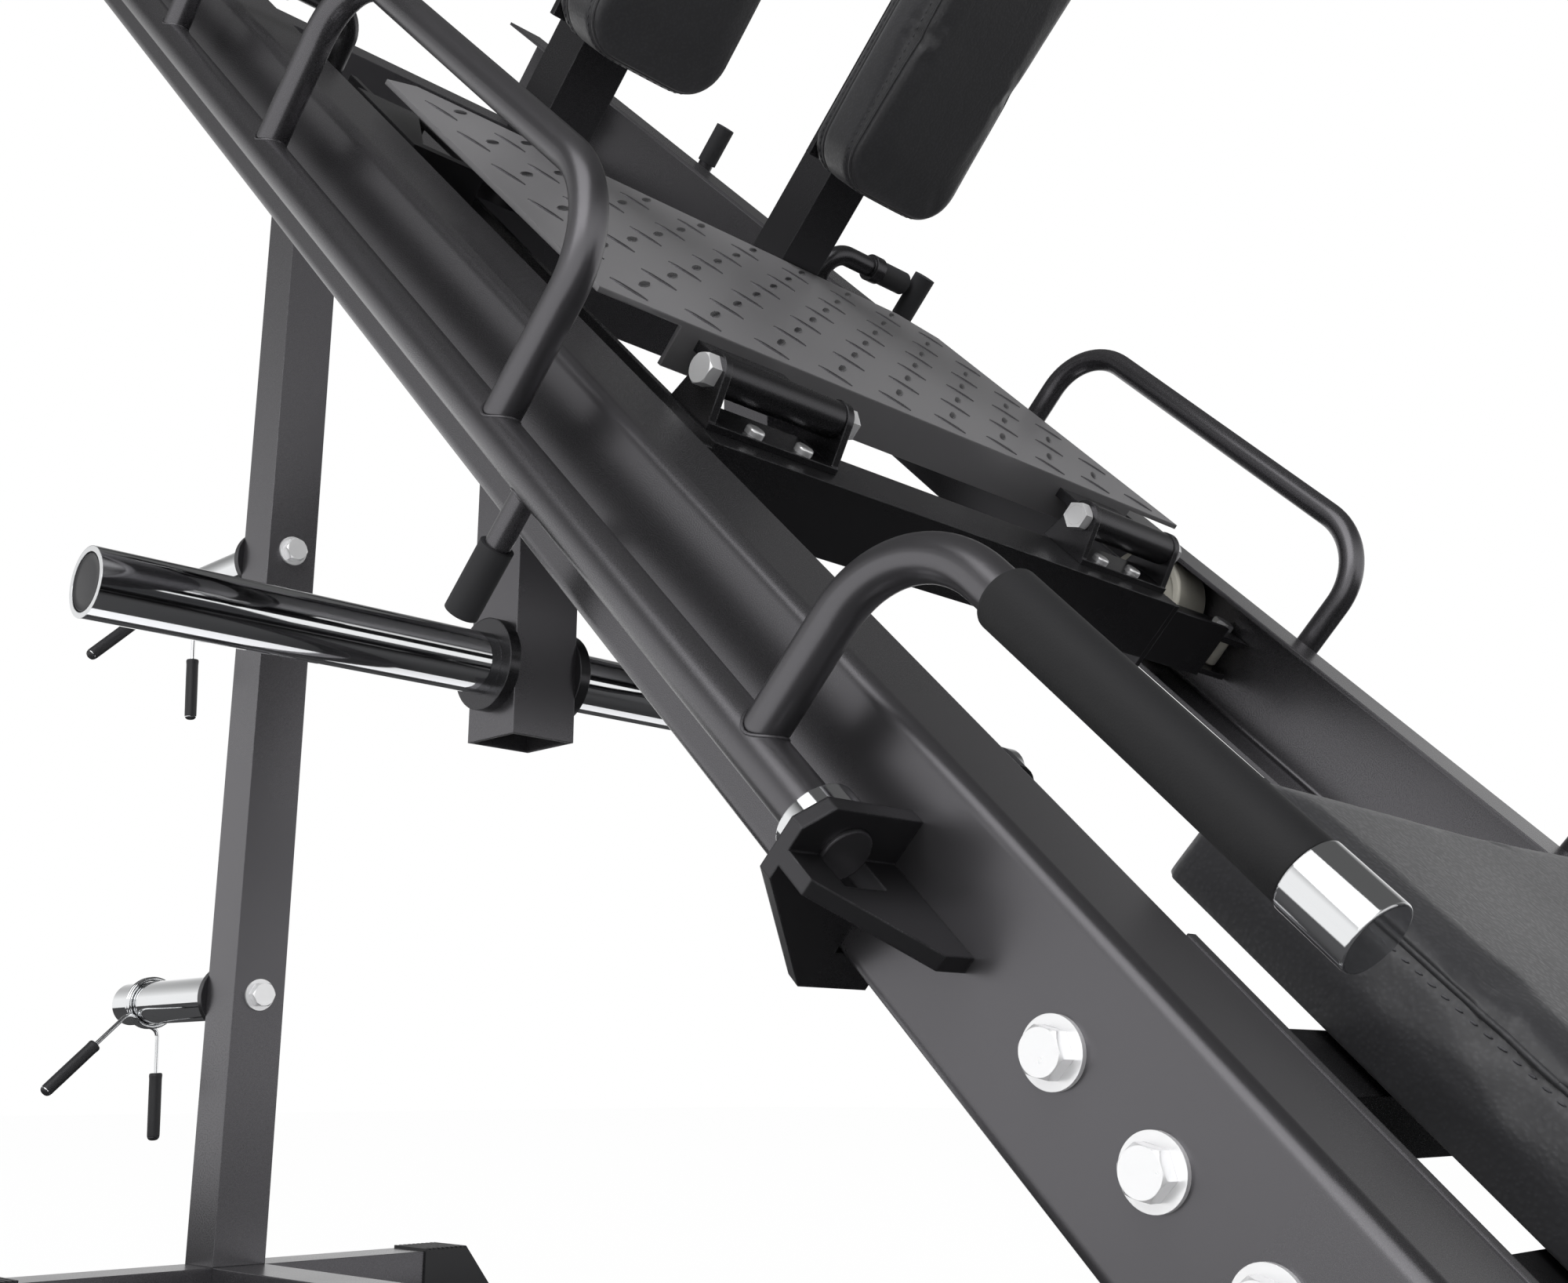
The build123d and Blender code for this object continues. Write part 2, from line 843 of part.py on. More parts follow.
def loading_bar():
    """Tube through both arms, with a plate sleeve at each end."""
    shoulder = arm_outer + bar_flange
    bar = rod_x(bar_seat_radius, -shoulder, shoulder, bar_y, bar_z)
    bar += rod_x(bar_radius, shoulder, bar_half, bar_y, bar_z)
    bar += rod_x(bar_radius, -bar_half, -shoulder, bar_y, bar_z)
    return bar - bore_x(bar_radius - bar_wall, -bar_half, bar_half, bar_y, bar_z)


def wheel_axle(s):
    """Stub axle through the side plate, with its head, spacer and end washer."""
    outer = carriage_half + plate
    wheel_outer = wheel_inner + wheel_width
    stub = rod_x(axle_radius, carriage_half - axle_head, wheel_outer + seat_gap + axle_washer, s, wheel_m)
    stub += rod_x(axle_head_radius, carriage_half - axle_head, carriage_half, s, wheel_m)
    stub += rod_x(axle_collar, outer, wheel_inner - seat_gap, s, wheel_m)
    stub += rod_x(axle_collar, wheel_outer + seat_gap, wheel_outer + seat_gap + axle_washer, s, wheel_m)
    return incline(stub)


def wheel(s):
    outer = wheel_inner + wheel_width
    body = rod_x(wheel_radius, wheel_inner, outer, s, wheel_m)
    body = fillet(body.edges().filter_by(GeomType.CIRCLE), wheel_recess)
    inner_recess = (wheel_inner - overrun, wheel_inner + wheel_recess)
    outer_recess = (outer - wheel_recess, outer + overrun)
    for low, high in (inner_recess, outer_recess):
        groove = rod_x(wheel_recess_outer, low, high, s, wheel_m)
        body -= groove - bore_x(wheel_recess_inner, low, high, s, wheel_m)
    return incline(body - bore_x(axle_radius + running_gap, wheel_inner, outer, s, wheel_m))


def roller_bracket():
    """Fork beside the side plate that holds the side roller."""
    outer = carriage_half + plate
    half = roller_length / 2 + fork_half_gap
    xs = (outer, half_width - fork_inset)
    ys = (fork_front, fork_rear)
    top = block(xs, ys, (roller_m + half, roller_m + half + fork_plate))
    low = block(xs, ys, (roller_m - half - fork_plate, roller_m - half))
    web_x = (outer, half_width - fork_web_inset)
    web = block(web_x, (fork_front, fork_front + fork_plate), (fork_web_low, fork_web_high))
    fork = top + low + web
    return incline(fork - rod_m(roller_pin_radius + running_gap, -rail_height, 0, roller_x, roller_s))


def roller_bolt():
    """Pin of the side roller: hexagon head above the fork, nut below it."""
    half = roller_length / 2 + fork_half_gap + fork_plate
    pin = bolt(roller_pin_radius, 2 * half + roller_pin_head, roller_pin_flats, roller_pin_head)
    lock = nut(roller_pin_flats, roller_pin_radius + running_gap, roller_pin_head)
    return [
        incline(Pos(roller_x, roller_s, roller_m + half) * pin),
        incline(Pos(roller_x, roller_s, roller_m - half) * Rot(180, 0, 0) * lock),
    ]


def side_roller():
    low = roller_m - roller_length / 2
    body = rod_m(roller_radius, low, low + roller_length, roller_x, roller_s)
    body = chamfer(body.edges().filter_by(GeomType.CIRCLE), roller_chamfer)
    return incline(body - rod_m(roller_pin_radius + running_gap, low - overrun, 0, roller_x, roller_s))


def footplate():
    """Folded plate in the slope of the rails, with its front lip."""
    corner_x = footplate_half - footplate_corner_x
    outline = [
        (-footplate_half, footplate_front),
        (footplate_half, footplate_front),
        (footplate_half, footplate_rear - footplate_corner_s),
        (corner_x, footplate_rear),
        (-corner_x, footplate_rear),
        (-footplate_half, footplate_rear - footplate_corner_s),
    ]
    sheet = extrude(Plane.XY * make_face(Polyline(*outline, close=True)), plate_thickness)
    sheet = Pos(0, 0, footplate_m - plate_thickness) * sheet
    lip_s = (footplate_front, footplate_front + plate_thickness)
    lip = block((-carriage_half, carriage_half), lip_s, (footplate_m - footplate_lip, footplate_m))
    return incline(sheet + lip)


def hinge_barrel():
    """Tube on the hinge bolt, with the tab to the footplate's lip."""
    body = rod_x(barrel_radius, barrel_inner, barrel_outer, hinge_s, hinge_m)
    tab_x = (barrel_inner + hinge_tab_border, barrel_outer - hinge_tab_border)
    body += block(tab_x, (hinge_s, footplate_front), (hinge_m - hinge_tab / 2, hinge_m + hinge_tab / 2))
    return incline(body - bore_x(hinge_bolt_radius + running_gap, barrel_inner, barrel_outer, hinge_s, hinge_m))


def hinge_bracket():
    """Folded bracket with two tapering ears on top of the cross channel."""
    inner_ear = barrel_inner - seat_gap - ear_plate
    outer_ear = barrel_outer + seat_gap + ear_plate
    ys = (hinge_s - ear_foot, carriage_front + channel_depth)
    base = block((inner_ear, outer_ear), ys, (carriage_top, carriage_top + hinge_base))
    rise = hinge_m - carriage_top
    turn = acos(ear_radius / hypot(ear_foot, rise)) - atan2(rise, ear_foot)
    reach = ear_radius * cos(turn)
    shoulder = hinge_m + ear_radius * sin(turn)
    outline = [
        (hinge_s - ear_foot, carriage_top),
        (hinge_s + ear_foot, carriage_top),
        (hinge_s + reach, shoulder),
        (hinge_s - reach, shoulder),
    ]
    for low in (inner_ear, outer_ear - ear_plate):
        base += plate_x(outline, low, low + ear_plate)
        base += rod_x(ear_radius, low, low + ear_plate, hinge_s, hinge_m)
    return incline(base - bore_x(hinge_bolt_radius + running_gap, inner_ear, outer_ear, hinge_s, hinge_m))


def hinge_bolts():
    """Hinge bolt and nut of one bracket, and the screws of its base."""
    inner_ear = barrel_inner - seat_gap - ear_plate
    outer_ear = barrel_outer + seat_gap + ear_plate
    screw = bolt(hinge_bolt_radius, outer_ear - inner_ear + hinge_bolt_head, hinge_bolt_flats, hinge_bolt_head)
    lock = nut(hinge_bolt_flats, hinge_bolt_radius + running_gap, hinge_bolt_head)
    pieces = [
        incline(facing_x(outer_ear, hinge_s, hinge_m) * screw),
        incline(facing_x(inner_ear - hinge_bolt_head, hinge_s, hinge_m) * lock),
    ]
    base_top = carriage_top + hinge_base
    head_top = base_top + small_bolt_head
    for offset in small_bolt_offsets:
        head = rod_m(small_bolt_head_radius, base_top, head_top, barrel_inner + offset, small_bolt_s)
        head = fillet(head.edges().sort_by(Axis.Z)[-1], small_bolt_round)
        pieces.append(incline(head))
    return pieces


def shoulder_post():
    """Square post in its socket, with the plate that backs the pad."""
    xs = (post_inner, post_inner + post_size)
    ys = (post_front, post_front + post_size)
    post = hollow_block(xs, ys, (carriage_top, post_high), tube_wall, 2)
    middle = post_inner + post_size / 2
    half = shoulder_pad_width / 2 - backing_border
    back_s = (post_front - backing_plate, post_front)
    back_m = (shoulder_pad_low + backing_border, post_high - backing_border)
    return incline(post + block((middle - half, middle + half), back_s, back_m))


def shoulder_pad():
    pad = cushion(shoulder_pad_width, shoulder_pad_length, shoulder_pad_thickness, shoulder_pad_corner)
    middle = shoulder_pad_low + shoulder_pad_length / 2
    place = Pos(post_inner + post_size / 2, post_front - backing_plate, middle) * Rot(90, 0, 0)
    return incline(place * pad)


def catch_arm():
    """Bar bent up from the side plate and out over the rail, with its clamp ring."""
    elbow_x = rail_inner - catch_inset
    corners = [
        (carriage_half + plate, catch_s, catch_root_m),
        (elbow_x, catch_s, catch_root_m),
        (elbow_x, catch_s, catch_m),
        (catch_end - sleeve_end, catch_s, catch_m),
    ]
    path = FilletPolyline(*corners, radius=catch_bend)
    arm = sweep(Plane(origin=path @ 0, z_dir=path % 0) * Circle(catch_radius), path=path)
    ring_end = catch_end - catch_sleeve_length
    return incline(arm + rod_x(catch_ring_radius, ring_end - catch_ring_length, ring_end, catch_s, catch_m))


def catch_sleeve():
    """Rubber sleeve over the arm's end, beside the stop peg."""
    start = catch_end - catch_sleeve_length
    sleeve = rod_x(catch_sleeve_radius, start, catch_end, catch_s, catch_m)
    sleeve = chamfer(sleeve.edges().group_by(Axis.X)[-1], catch_sleeve_chamfer)
    return incline(sleeve - rod_x(catch_radius, start - overrun, catch_end - sleeve_end, catch_s, catch_m))


def clamp_place():
    """(s, m) of the backrest clamp at rest."""
    return backrest_pivot_s - clamp_back, backrest_pivot_m + clamp_up


def backrest_ear_plate():
    """Ear of the seat frame: pivot hole, and the arc slot of the clamp."""
    reach = hypot(clamp_back, clamp_up)
    start = atan2(clamp_up, -clamp_back)
    end = start + radians(backrest_recline)
    rim = reach + ear_rim
    margin = ear_rim / rim
    back = seat_tube / 2
    pivot_under = backrest_pivot_m - back - board_border
    lower = seat_base - board - seat_tube
    outline = [
        (seat_low, lower + seat_tube),
        (seat_tube_starts[0], lower + seat_tube),
        (seat_tube_starts[0], lower),
        (backrest_pivot_s, pivot_under),
        (backrest_pivot_s + rim * cos(end + margin), backrest_pivot_m + rim * sin(end + margin)),
        (backrest_pivot_s + rim * cos(start - margin), backrest_pivot_m + rim * sin(start - margin)),
        (backrest_pivot_s + back, backrest_pivot_m + back),
    ]
    inner = seat_tube / 2 + seat_gap
    ear = plate_x(outline, inner, inner + backrest_ear)
    xs = (inner - overrun, inner + backrest_ear + overrun)
    ear -= rod_x(backrest_pin_radius + running_gap, *xs, backrest_pivot_s, backrest_pivot_m)
    slot_radius = clamp_radius + seat_gap
    middle = (start + end) / 2

    def at(angle):
        return backrest_pivot_s + reach * cos(angle), backrest_pivot_m + reach * sin(angle)

    arc = ThreePointArc(at(start), at(middle), at(end))
    slot = extrude(SlotArc(arc, 2 * slot_radius), xs[1] - xs[0])
    turned = Plane((xs[0], 0, 0), x_dir=(0, 1, 0), z_dir=(1, 0, 0)) * slot
    return ear - turned


def seat_frame():
    """Cross tubes between the rail end plates, the seat's board, the ears."""
    lower = seat_base - board - seat_tube
    under_board = seat_base - board
    xs = (-end_plate_inner, end_plate_inner)
    frame = block(
        (-seat_half + seat_board_border, seat_half - seat_board_border),
        (seat_low + seat_board_border, seat_high - seat_board_border),
        (under_board, seat_base),
    )
    for start in seat_tube_starts:
        frame += hollow_block(xs, (start, start + seat_tube), (lower, under_board), tube_wall, 0)
    ear = backrest_ear_plate()
    return incline(frame + ear + flip(ear))


def seat_pad():
    pad = cushion(2 * seat_half, seat_high - seat_low, seat_thickness, seat_corner)
    return incline(Pos(0, (seat_low + seat_high) / 2, seat_base) * pad)


def backrest_frame():
    """Square tube on its pivot pin, with the clamp lug and the pad's board."""
    half = seat_tube / 2
    ys = (backrest_pivot_s - half, backrest_pivot_s + half)
    tube = hollow_block((-half, half), ys, (backrest_tube_low, backrest_tube_high), tube_wall, 2)
    clamp_s, clamp_m = clamp_place()
    lug = block((-half, half), (clamp_s - lug_half, ys[0]), (clamp_m - lug_half, clamp_m + lug_half))
    board_m = (backrest_low + board_border, backrest_low + backrest_length - board_border)
    board_x = (-backrest_half + board_border, backrest_half - board_border)
    frame = tube + lug + block(board_x, (ys[1], ys[1] + board), board_m)
    pin = half + seat_gap + backrest_ear
    frame += rod_x(backrest_pin_radius, -pin, pin, backrest_pivot_s, backrest_pivot_m)
    return incline(frame - rod_x(clamp_radius + running_gap, -half - overrun, half + overrun, clamp_s, clamp_m))


def backrest_pad():
    pad = cushion(2 * backrest_half, backrest_length, backrest_thickness, backrest_corner)
    place = Pos(0, backrest_pivot_s + seat_tube / 2 + board, backrest_low + backrest_length / 2)
    return incline(place * Rot(-90, 0, 0) * pad)


def backrest_knob():
    """Star knob and its clamp bolt through the lug and both slots."""
    s, m = clamp_place()
    face = seat_tube / 2 + seat_gap + backrest_ear + seat_gap
    star = Circle(knob_radius)
    for lobe in range(knob_lobes):
        angle = 2 * pi * lobe / knob_lobes
        star -= Pos(knob_radius * cos(angle), knob_radius * sin(angle)) * Circle(knob_lobe_radius / 2)
    knob = facing_x(face, s, m) * extrude(star, knob_length)
    knob += rod_x(clamp_radius, -face - clamp_head, face + knob_length / 2, s, m)
    knob += rod_x(clamp_head_radius, -face - clamp_head, -face, s, m)
    return incline(knob)


def standing_plate():
    """Sloped plate for the feet, folded over two cheeks that reach the front beam."""
    fall = (stand_front_z - beam) / (stand_rear_y - stand_front_y)
    drop = stand_sheet * hypot(1, fall)
    side = [
        (front_beam_y, 0),
        (front_beam_y, beam),
        (stand_rear_y, beam),
        (stand_front_y, stand_front_z),
        (stand_front_y, 0),
    ]
    sheet = [
        (stand_rear_y, beam - drop),
        (stand_rear_y, beam),
        (stand_front_y, stand_front_z),
        (stand_front_y, stand_front_z - drop),
    ]
    cheek = plate_x(side, stand_half - stand_cheek, stand_half)
    return plate_x(sheet, -stand_half, stand_half) + cheek + flip(cheek)


def beam_y(xs, ys):
    """Base member of square tube along Y, lying on the floor."""
    return hollow_block(xs, ys, (0, beam), tube_wall, 1)


def beam_x(half, y):
    """Foot member of square tube along X, lying on the floor."""
    return hollow_block((-half, half), (y, y + beam), (0, beam), tube_wall, 0)


def save_sides(name, solids):
    """The piece of the right-hand side, and its mirror image."""
    save("right_" + name, solids)
    save("left_" + name, [flip(solid) for solid in solids])


def save_pairs(name, solids):
    """Pieces of both sides in one node."""
    save(name, [side for solid in solids for side in pair(solid)])


# Standing frame
save_sides("rail", [guide_rail()])
save_pairs("rail_end_plates", [rail_end_plate()])
save_pairs("rail_bolts", rail_bolts())
save("front_foot", [beam_x(front_beam_half, front_beam_y)])
save("base_beam", [beam_y((-beam / 2, beam / 2), (front_beam_y + beam, upright_y))])
save("rear_foot", [beam_x(rear_foot_half, upright_y)])
save_pairs("foot_caps", [foot_cap(front_beam_half, front_beam_y), foot_cap(rear_foot_half, upright_y)])
save("rear_upright", [rear_upright()])
top_beam = hollow_block(
    (-half_width, half_width),
    (cross_beam_low, cross_beam_low + beam),
    (-rail_height - beam, -rail_height),
    tube_wall,
    0,
)
save("top_cross_beam", [incline(top_beam)])
save("storage_horns", [storage_horn(z) for z in horn_heights])
save("horn_flanges", [horn_flange(z) for z in horn_heights])
save("horn_bolts", [piece for z in horn_heights for piece in horn_bolt(z)])
save_pairs("lockout_end_brackets", [lockout_bracket(bracket_low, False)])
save_pairs("lockout_top_brackets", [lockout_bracket(bracket_high, True)])
save_pairs("travel_bumpers", travel_bumpers())
save("seat_frame", [seat_frame()])
save("seat_pad", [seat_pad()])
save("standing_plate", [standing_plate()])

# Lockout handles
save_sides("lockout_tube", [lockout_tube()])
save_sides("loop_handle", [loop_handle()])
save_sides("j_handle", [j_handle()])
save_sides("foam_grip", [foam_grip()])
save_sides("grip_cap", [grip_cap()])
save_sides("peg_sleeves", peg_sleeves())
save_sides("shaft_collar", [shaft_collar()])

# Carriage
save("cross_channel", [cross_channel()])
save_pairs("carriage_sides", [carriage_side()])
save("upper_cross_beam", [upper_beam()])
save_pairs("loading_arms", [loading_arm()])
save("loading_bar", [loading_bar()])
save_pairs("bar_flanges", bar_flanges())
save_pairs("wheel_axles", [wheel_axle(s) for s in (front_wheel_s, rear_wheel_s)])
save_pairs("roller_brackets", [roller_bracket()])
save_pairs("roller_bolts", roller_bolt())
save_pairs("hinge_brackets", [hinge_bracket()])
save_pairs("hinge_bolts", hinge_bolts())
save_pairs("shoulder_posts", [shoulder_post()])
save_sides("shoulder_pad", [shoulder_pad()])
save_pairs("catch_arms", [catch_arm()])
save_pairs("catch_sleeves", [catch_sleeve()])

# Pieces that move on the carriage
save("footplate", [footplate()])
save_pairs("hinge_barrels", [hinge_barrel()])
save_pairs("front_wheels", [wheel(front_wheel_s)])
save_pairs("rear_wheels", [wheel(rear_wheel_s)])
save_sides("side_roller", [side_roller()])

# Pieces that move on the standing frame
save("lower_spring_collar", spring_collar(horn_heights[0]))
save("upper_spring_collar", spring_collar(horn_heights[1]))
save("backrest_frame", [backrest_frame()])
save("backrest_pad", [backrest_pad()])
save("backrest_knob", [backrest_knob()])

print_spring_gap()
print("travel down the rails", round(carriage_front - stop_face - seat_gap, 2), "mm")
print("origin lies", middle_y, "mm behind the foot of the slope")
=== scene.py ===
"""Leg press and hack squat machine: finishes, cushions, small fittings, camera and studio.

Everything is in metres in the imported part's frame, apart from the numbers that are marked as
millimetres and multiplied by MM. Pieces that lie along the slope are modelled level, as
(x across, s up the rails, m square to them), and laid on it by to_rails().
"""
import json
from contextlib import contextmanager
from math import atan2, cos, hypot, pi, radians, sin

import bmesh
import bpy
import numpy as np
from mathutils import Matrix, Vector
from mathutils.bvhtree import BVHTree

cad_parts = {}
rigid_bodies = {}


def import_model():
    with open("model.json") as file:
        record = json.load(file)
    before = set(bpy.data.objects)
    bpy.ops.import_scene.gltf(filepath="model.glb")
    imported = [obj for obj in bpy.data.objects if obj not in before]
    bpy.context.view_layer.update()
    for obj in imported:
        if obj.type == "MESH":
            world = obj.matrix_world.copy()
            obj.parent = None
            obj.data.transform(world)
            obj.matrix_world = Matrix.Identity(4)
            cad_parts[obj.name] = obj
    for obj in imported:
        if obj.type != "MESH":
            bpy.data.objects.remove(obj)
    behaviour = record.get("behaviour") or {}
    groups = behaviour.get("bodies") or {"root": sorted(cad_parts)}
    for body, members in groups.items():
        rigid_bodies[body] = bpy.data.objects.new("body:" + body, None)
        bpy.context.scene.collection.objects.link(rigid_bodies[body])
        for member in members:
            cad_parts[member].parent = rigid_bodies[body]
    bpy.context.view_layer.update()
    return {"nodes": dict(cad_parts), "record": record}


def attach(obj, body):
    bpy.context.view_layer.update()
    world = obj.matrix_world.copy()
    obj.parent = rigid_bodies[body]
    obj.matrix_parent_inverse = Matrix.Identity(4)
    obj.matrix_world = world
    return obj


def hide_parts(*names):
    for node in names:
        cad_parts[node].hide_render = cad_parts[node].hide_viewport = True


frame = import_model()

bl_info = {
    "name": "Leg press hack squat machine",
    "version": (1, 0, 0),
    "blender": (4, 5, 0),
    "location": "View3D > Sidebar > Leg press",
    "description": "Finishes, cushions, fittings and studio for the leg press hack squat machine",
    "category": "Object",
}

MM = 0.001
SLOPE = radians(45)
FLOOR_SHIFT = -0.791
RAIL_TURN = Matrix.Translation((0, FLOOR_SHIFT, 0)) @ Matrix.Rotation(SLOPE, 4, "X")
# Plates that take the lighter tread coat, whose extra lightness is painted light
TREAD_NODES = ("footplate", "standing_plate")

# In millimetres: the lockout tubes, the J grips' height m and the handles' weld beads
LOCKOUT_X, LOCKOUT_M, LOCKOUT_RADIUS = 434, -48, 13
J_RISE = 79
WELD_BEAD = 0.9
# Depth, as a share of the bead, and number of its ripples
WELD_RIPPLE, WELD_RIPPLES = 0.12, 36
# Each foot on a lockout tube: s and radius in millimetres, then 1 above the tube or -1 below it
HANDLE_FEET = ((596, 11, 1), (890, 11, 1), (1306, 11, 1), (835, 7.5, -1), (1560, 10, 1), (2035, 10, 1))

# Pads: width, length, thickness and corner radius, then the middle of the base as (x, s, m)
SEAT_PAD = (0.5, 0.29, 0.067, 0.014)
SEAT_PLACE = (0, 0.363, -0.020)
BACKREST_PAD = (0.46, 0.6, 0.067, 0.04)
BACKREST_PLACE = (0, 0.143, 0.360)
SHOULDER_PAD = (0.15, 0.3, 0.069, 0.042)
SHOULDER_PLACE = (0.151, 1.419, 0.262)
BACKREST_MESH, SHOULDER_MESH, SHOULDER_SWELL = 0.006, 0.004, 0.004
PAD_SEAMS = (0.052,)
SHOULDER_SEAMS = (0.056, 0.011)
COVER_INSET = 0.004
COVER_DROP = 0.005
COVER_EDGE = 0.011
BASE_HELD = 0.003
CLOTH_FRAMES, CLOTH_STRETCH, CLOTH_BEND = 20, 40, 8
SEAM_DEPTH, SEAM_SPREAD = 0.0022, 0.004
WELT_STEP, WELT_SINK = 0.006, 0.25
STITCH_DROP, STITCH_SHARE, STITCH_SLANT = 0.0045, 0.62, radians(14)
THREAD_RADIUS = 0.0006

# Tread: the fields are half the width, the lowest and highest place, and the first row
FOOTPLATE_TOP = 0.022
FOOTPLATE_FIELD = (0.305, 1.024, 1.402, 1.033)
STAND_LOW, STAND_HIGH, STAND_LENGTH = 0.060, 0.184, 0.340
STAND_REAR, STAND_HALF = -0.060, 0.27
STAND_MARGIN, STAND_FIRST = 0.02, 0.032

# Ends of the bar, the storage horns and the lockout tubes; the plugs are radius and depth
BAR_END = 0.502
BAR_Y, BAR_Z = 1.026, 0.569
HORN_END, TUBE_END = 1.982, 2.110
HORN_LEVELS = (("lower", 0.340), ("upper", 0.849))
BAR_PLUG, TUBE_PLUG = (0.0208, 0.012), (0.0098, 0.010)

# Studio: name, place, size, grey and glow of the cards, painted reflections that only reflections show;
# place, aim and size of the lights
CARDS = (
    ("dark_reflection_card", (3.5, 2, 0.001), (9, 10), 0.07, 0.0),
    ("glowing_reflection_card", (0.1, 0.5, 0.002), (1.5, 0.4), 0.6, 0.6),
)
KEY_LIGHT = ((-4.2, -1.6, 3.6), (0, 0, 0.6), (5.0, 5.0))
TOP_LIGHT = ((-1.3, -0.8, 4.6), (0, 0, 0.5), (3.8, 3.8))
FLOOR_SIZE, FLOOR_GLOW = 30, 0.985
CAMERA_PLACE = (-0.952, -0.865, 0.242)
CAMERA_DEGREES = (104.622, 0.065, -45.354)
CAMERA_LENS = 39.17


def colour_setting(name, description, default):
    return bpy.props.FloatVectorProperty(
        name=name, description=description, subtype="COLOR", size=3, default=default, min=0, max=1)


def length_setting(name, description, default, least, most):
    return bpy.props.FloatProperty(
        name=name, description=description, unit="LENGTH", default=default, min=least, max=most)


class FrameFinish(bpy.types.PropertyGroup):
    """Colours of the painted, plated and moulded parts."""

    coat: colour_setting("Powder coat", "Graphite powder coat of the frame", (0.13, 0.127, 0.135))
    dark_coat: colour_setting("Dark coat", "Coat of the brackets and the carriage", (0.062, 0.061, 0.065))
    # Painted light: the foot plates' coat is a lighter copy of the graphite coat, for the light that falls
    # on them
    tread: colour_setting("Tread coat", "Rougher coat of the foot plates", (0.3, 0.295, 0.305))
    leather: colour_setting("Leather", "Grained cover of the pads", (0.032, 0.032, 0.035))
    foam: colour_setting("Foam", "Foam of the hand grips", (0.01, 0.01, 0.011))
    nylon: colour_setting("Nylon", "Wheels and side rollers", (0.58, 0.56, 0.49))


class PadSizes(bpy.types.PropertyGroup):
    """Sizes of the upholstered pads."""

    voxel: length_setting("Cover mesh", "Edge of the cover's mesh before smoothing", 0.005, 0.003, 0.01)
    pressure: bpy.props.FloatProperty(
        name="Filling", description="Pressure of the filling on the cover", default=1.6, min=0, max=20)
    swell: length_setting("Swell", "Most that the cover may move out", 0.005, 0, 0.03)
    welt: length_setting("Welt", "Radius of the sewn welt", 0.0019, 0.001, 0.005)
    stitch: length_setting("Stitch", "Distance between two stitches", 0.0075, 0.003, 0.02)


class TreadSizes(bpy.types.PropertyGroup):
    """Sizes of the raised tread on the plates that feet stand on."""

    pitch: length_setting("Pitch", "Distance between bars of one direction", 0.066, 0.02, 0.2)
    length: length_setting("Length", "Length of a tread bar", 0.029, 0.01, 0.1)
    width: length_setting("Width", "Width of a tread bar", 0.0052, 0.002, 0.02)
    height: length_setting("Height", "Rise of a tread bar over the plate", 0.0014, 0.0005, 0.005)


class StudioLook(bpy.types.PropertyGroup):
    """Light and background."""

    key: bpy.props.FloatProperty(
        name="Key light", description="Power of the big softbox", unit="POWER", default=130, min=0)
    fill: bpy.props.FloatProperty(
        name="Fill light", description="Power of the overhead softbox", unit="POWER", default=230, min=0)
    sky: bpy.props.FloatProperty(
        name="Sky", description="Level of the soft light from all round", default=0.35, min=0, max=1)
    floor: colour_setting("Floor", "Colour of the floor", (0.8, 0.8, 0.8))


GROUPS = {}
FINISHES = {}

# Laying pieces out

def deselect():
    """Clear the selection, so that an operator acts on new pieces only."""
    for item in bpy.context.view_layer.objects:
        item.select_set(False)


def activate(item):
    deselect()
    item.select_set(True)
    bpy.context.view_layer.objects.active = item
    return item


def freeze(item):
    """Put the object's place and turn into its mesh."""
    activate(item)
    bpy.ops.object.transform_apply(location=True, rotation=True, scale=True)
    return item


def to_rails(item):
    """Lay a piece modelled as (x, s, m) on the slope of the rails."""
    freeze(item)
    item.matrix_world = RAIL_TURN
    return freeze(item)


def new_piece(name):
    """Name the primitive that was just added."""
    item = bpy.context.object
    item.name = name
    item.data.name = name
    return item


def join(items, name):
    deselect()
    for item in items:
        item.select_set(True)
    bpy.context.view_layer.objects.active = items[0]
    if len(items) > 1:
        bpy.ops.object.join()
    item = bpy.context.object
    item.name = name
    item.data.name = name
    return item


def copy_at(item, matrix):
    """Copy of a finished shape, with its own mesh, moved by a matrix."""
    twin = item.copy()
    twin.data = item.data.copy()
    twin.data.transform(matrix)
    bpy.context.scene.collection.objects.link(twin)
    return twin


def apply_all(item):
    activate(item)
    for modifier in list(item.modifiers):
        bpy.ops.object.modifier_apply(modifier=modifier.name)
    return item


def smooth(item, angle):
    activate(item)
    bpy.ops.object.shade_smooth_by_angle(angle=radians(angle))
    return item


@contextmanager
def editing(item, action="SELECT"):
    """Edit mode on one piece, with all of it selected, or with nothing for DESELECT."""
    activate(item)
    bpy.ops.object.mode_set(mode="EDIT")
    bpy.ops.mesh.select_all(action=action)
    yield
    bpy.ops.object.mode_set(mode="OBJECT")


def outward(item):
    """Merge doubles and turn all faces outwards."""
    with editing(item):
        bpy.ops.mesh.remove_doubles(threshold=0.00001)
        bpy.ops.mesh.normals_make_consistent(inside=False)
    return item


def mirrored(item, name):
    """The same piece on the other side of the machine."""
    twin = copy_at(item, Matrix.Scale(-1, 4, (1, 0, 0)))
    twin.name = name
    twin.data.name = name
    return outward(twin)


def dress(item, body, slot, *nodes, finish=None):
    """Give a piece its material, from the finish or else the slot, its body, and hide the nodes it stands
    for.
    """
    item.data.materials.clear()
    item.data.materials.append(FINISHES[finish or slot])
    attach(item, body)
    if nodes:
        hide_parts(*nodes)
    return item


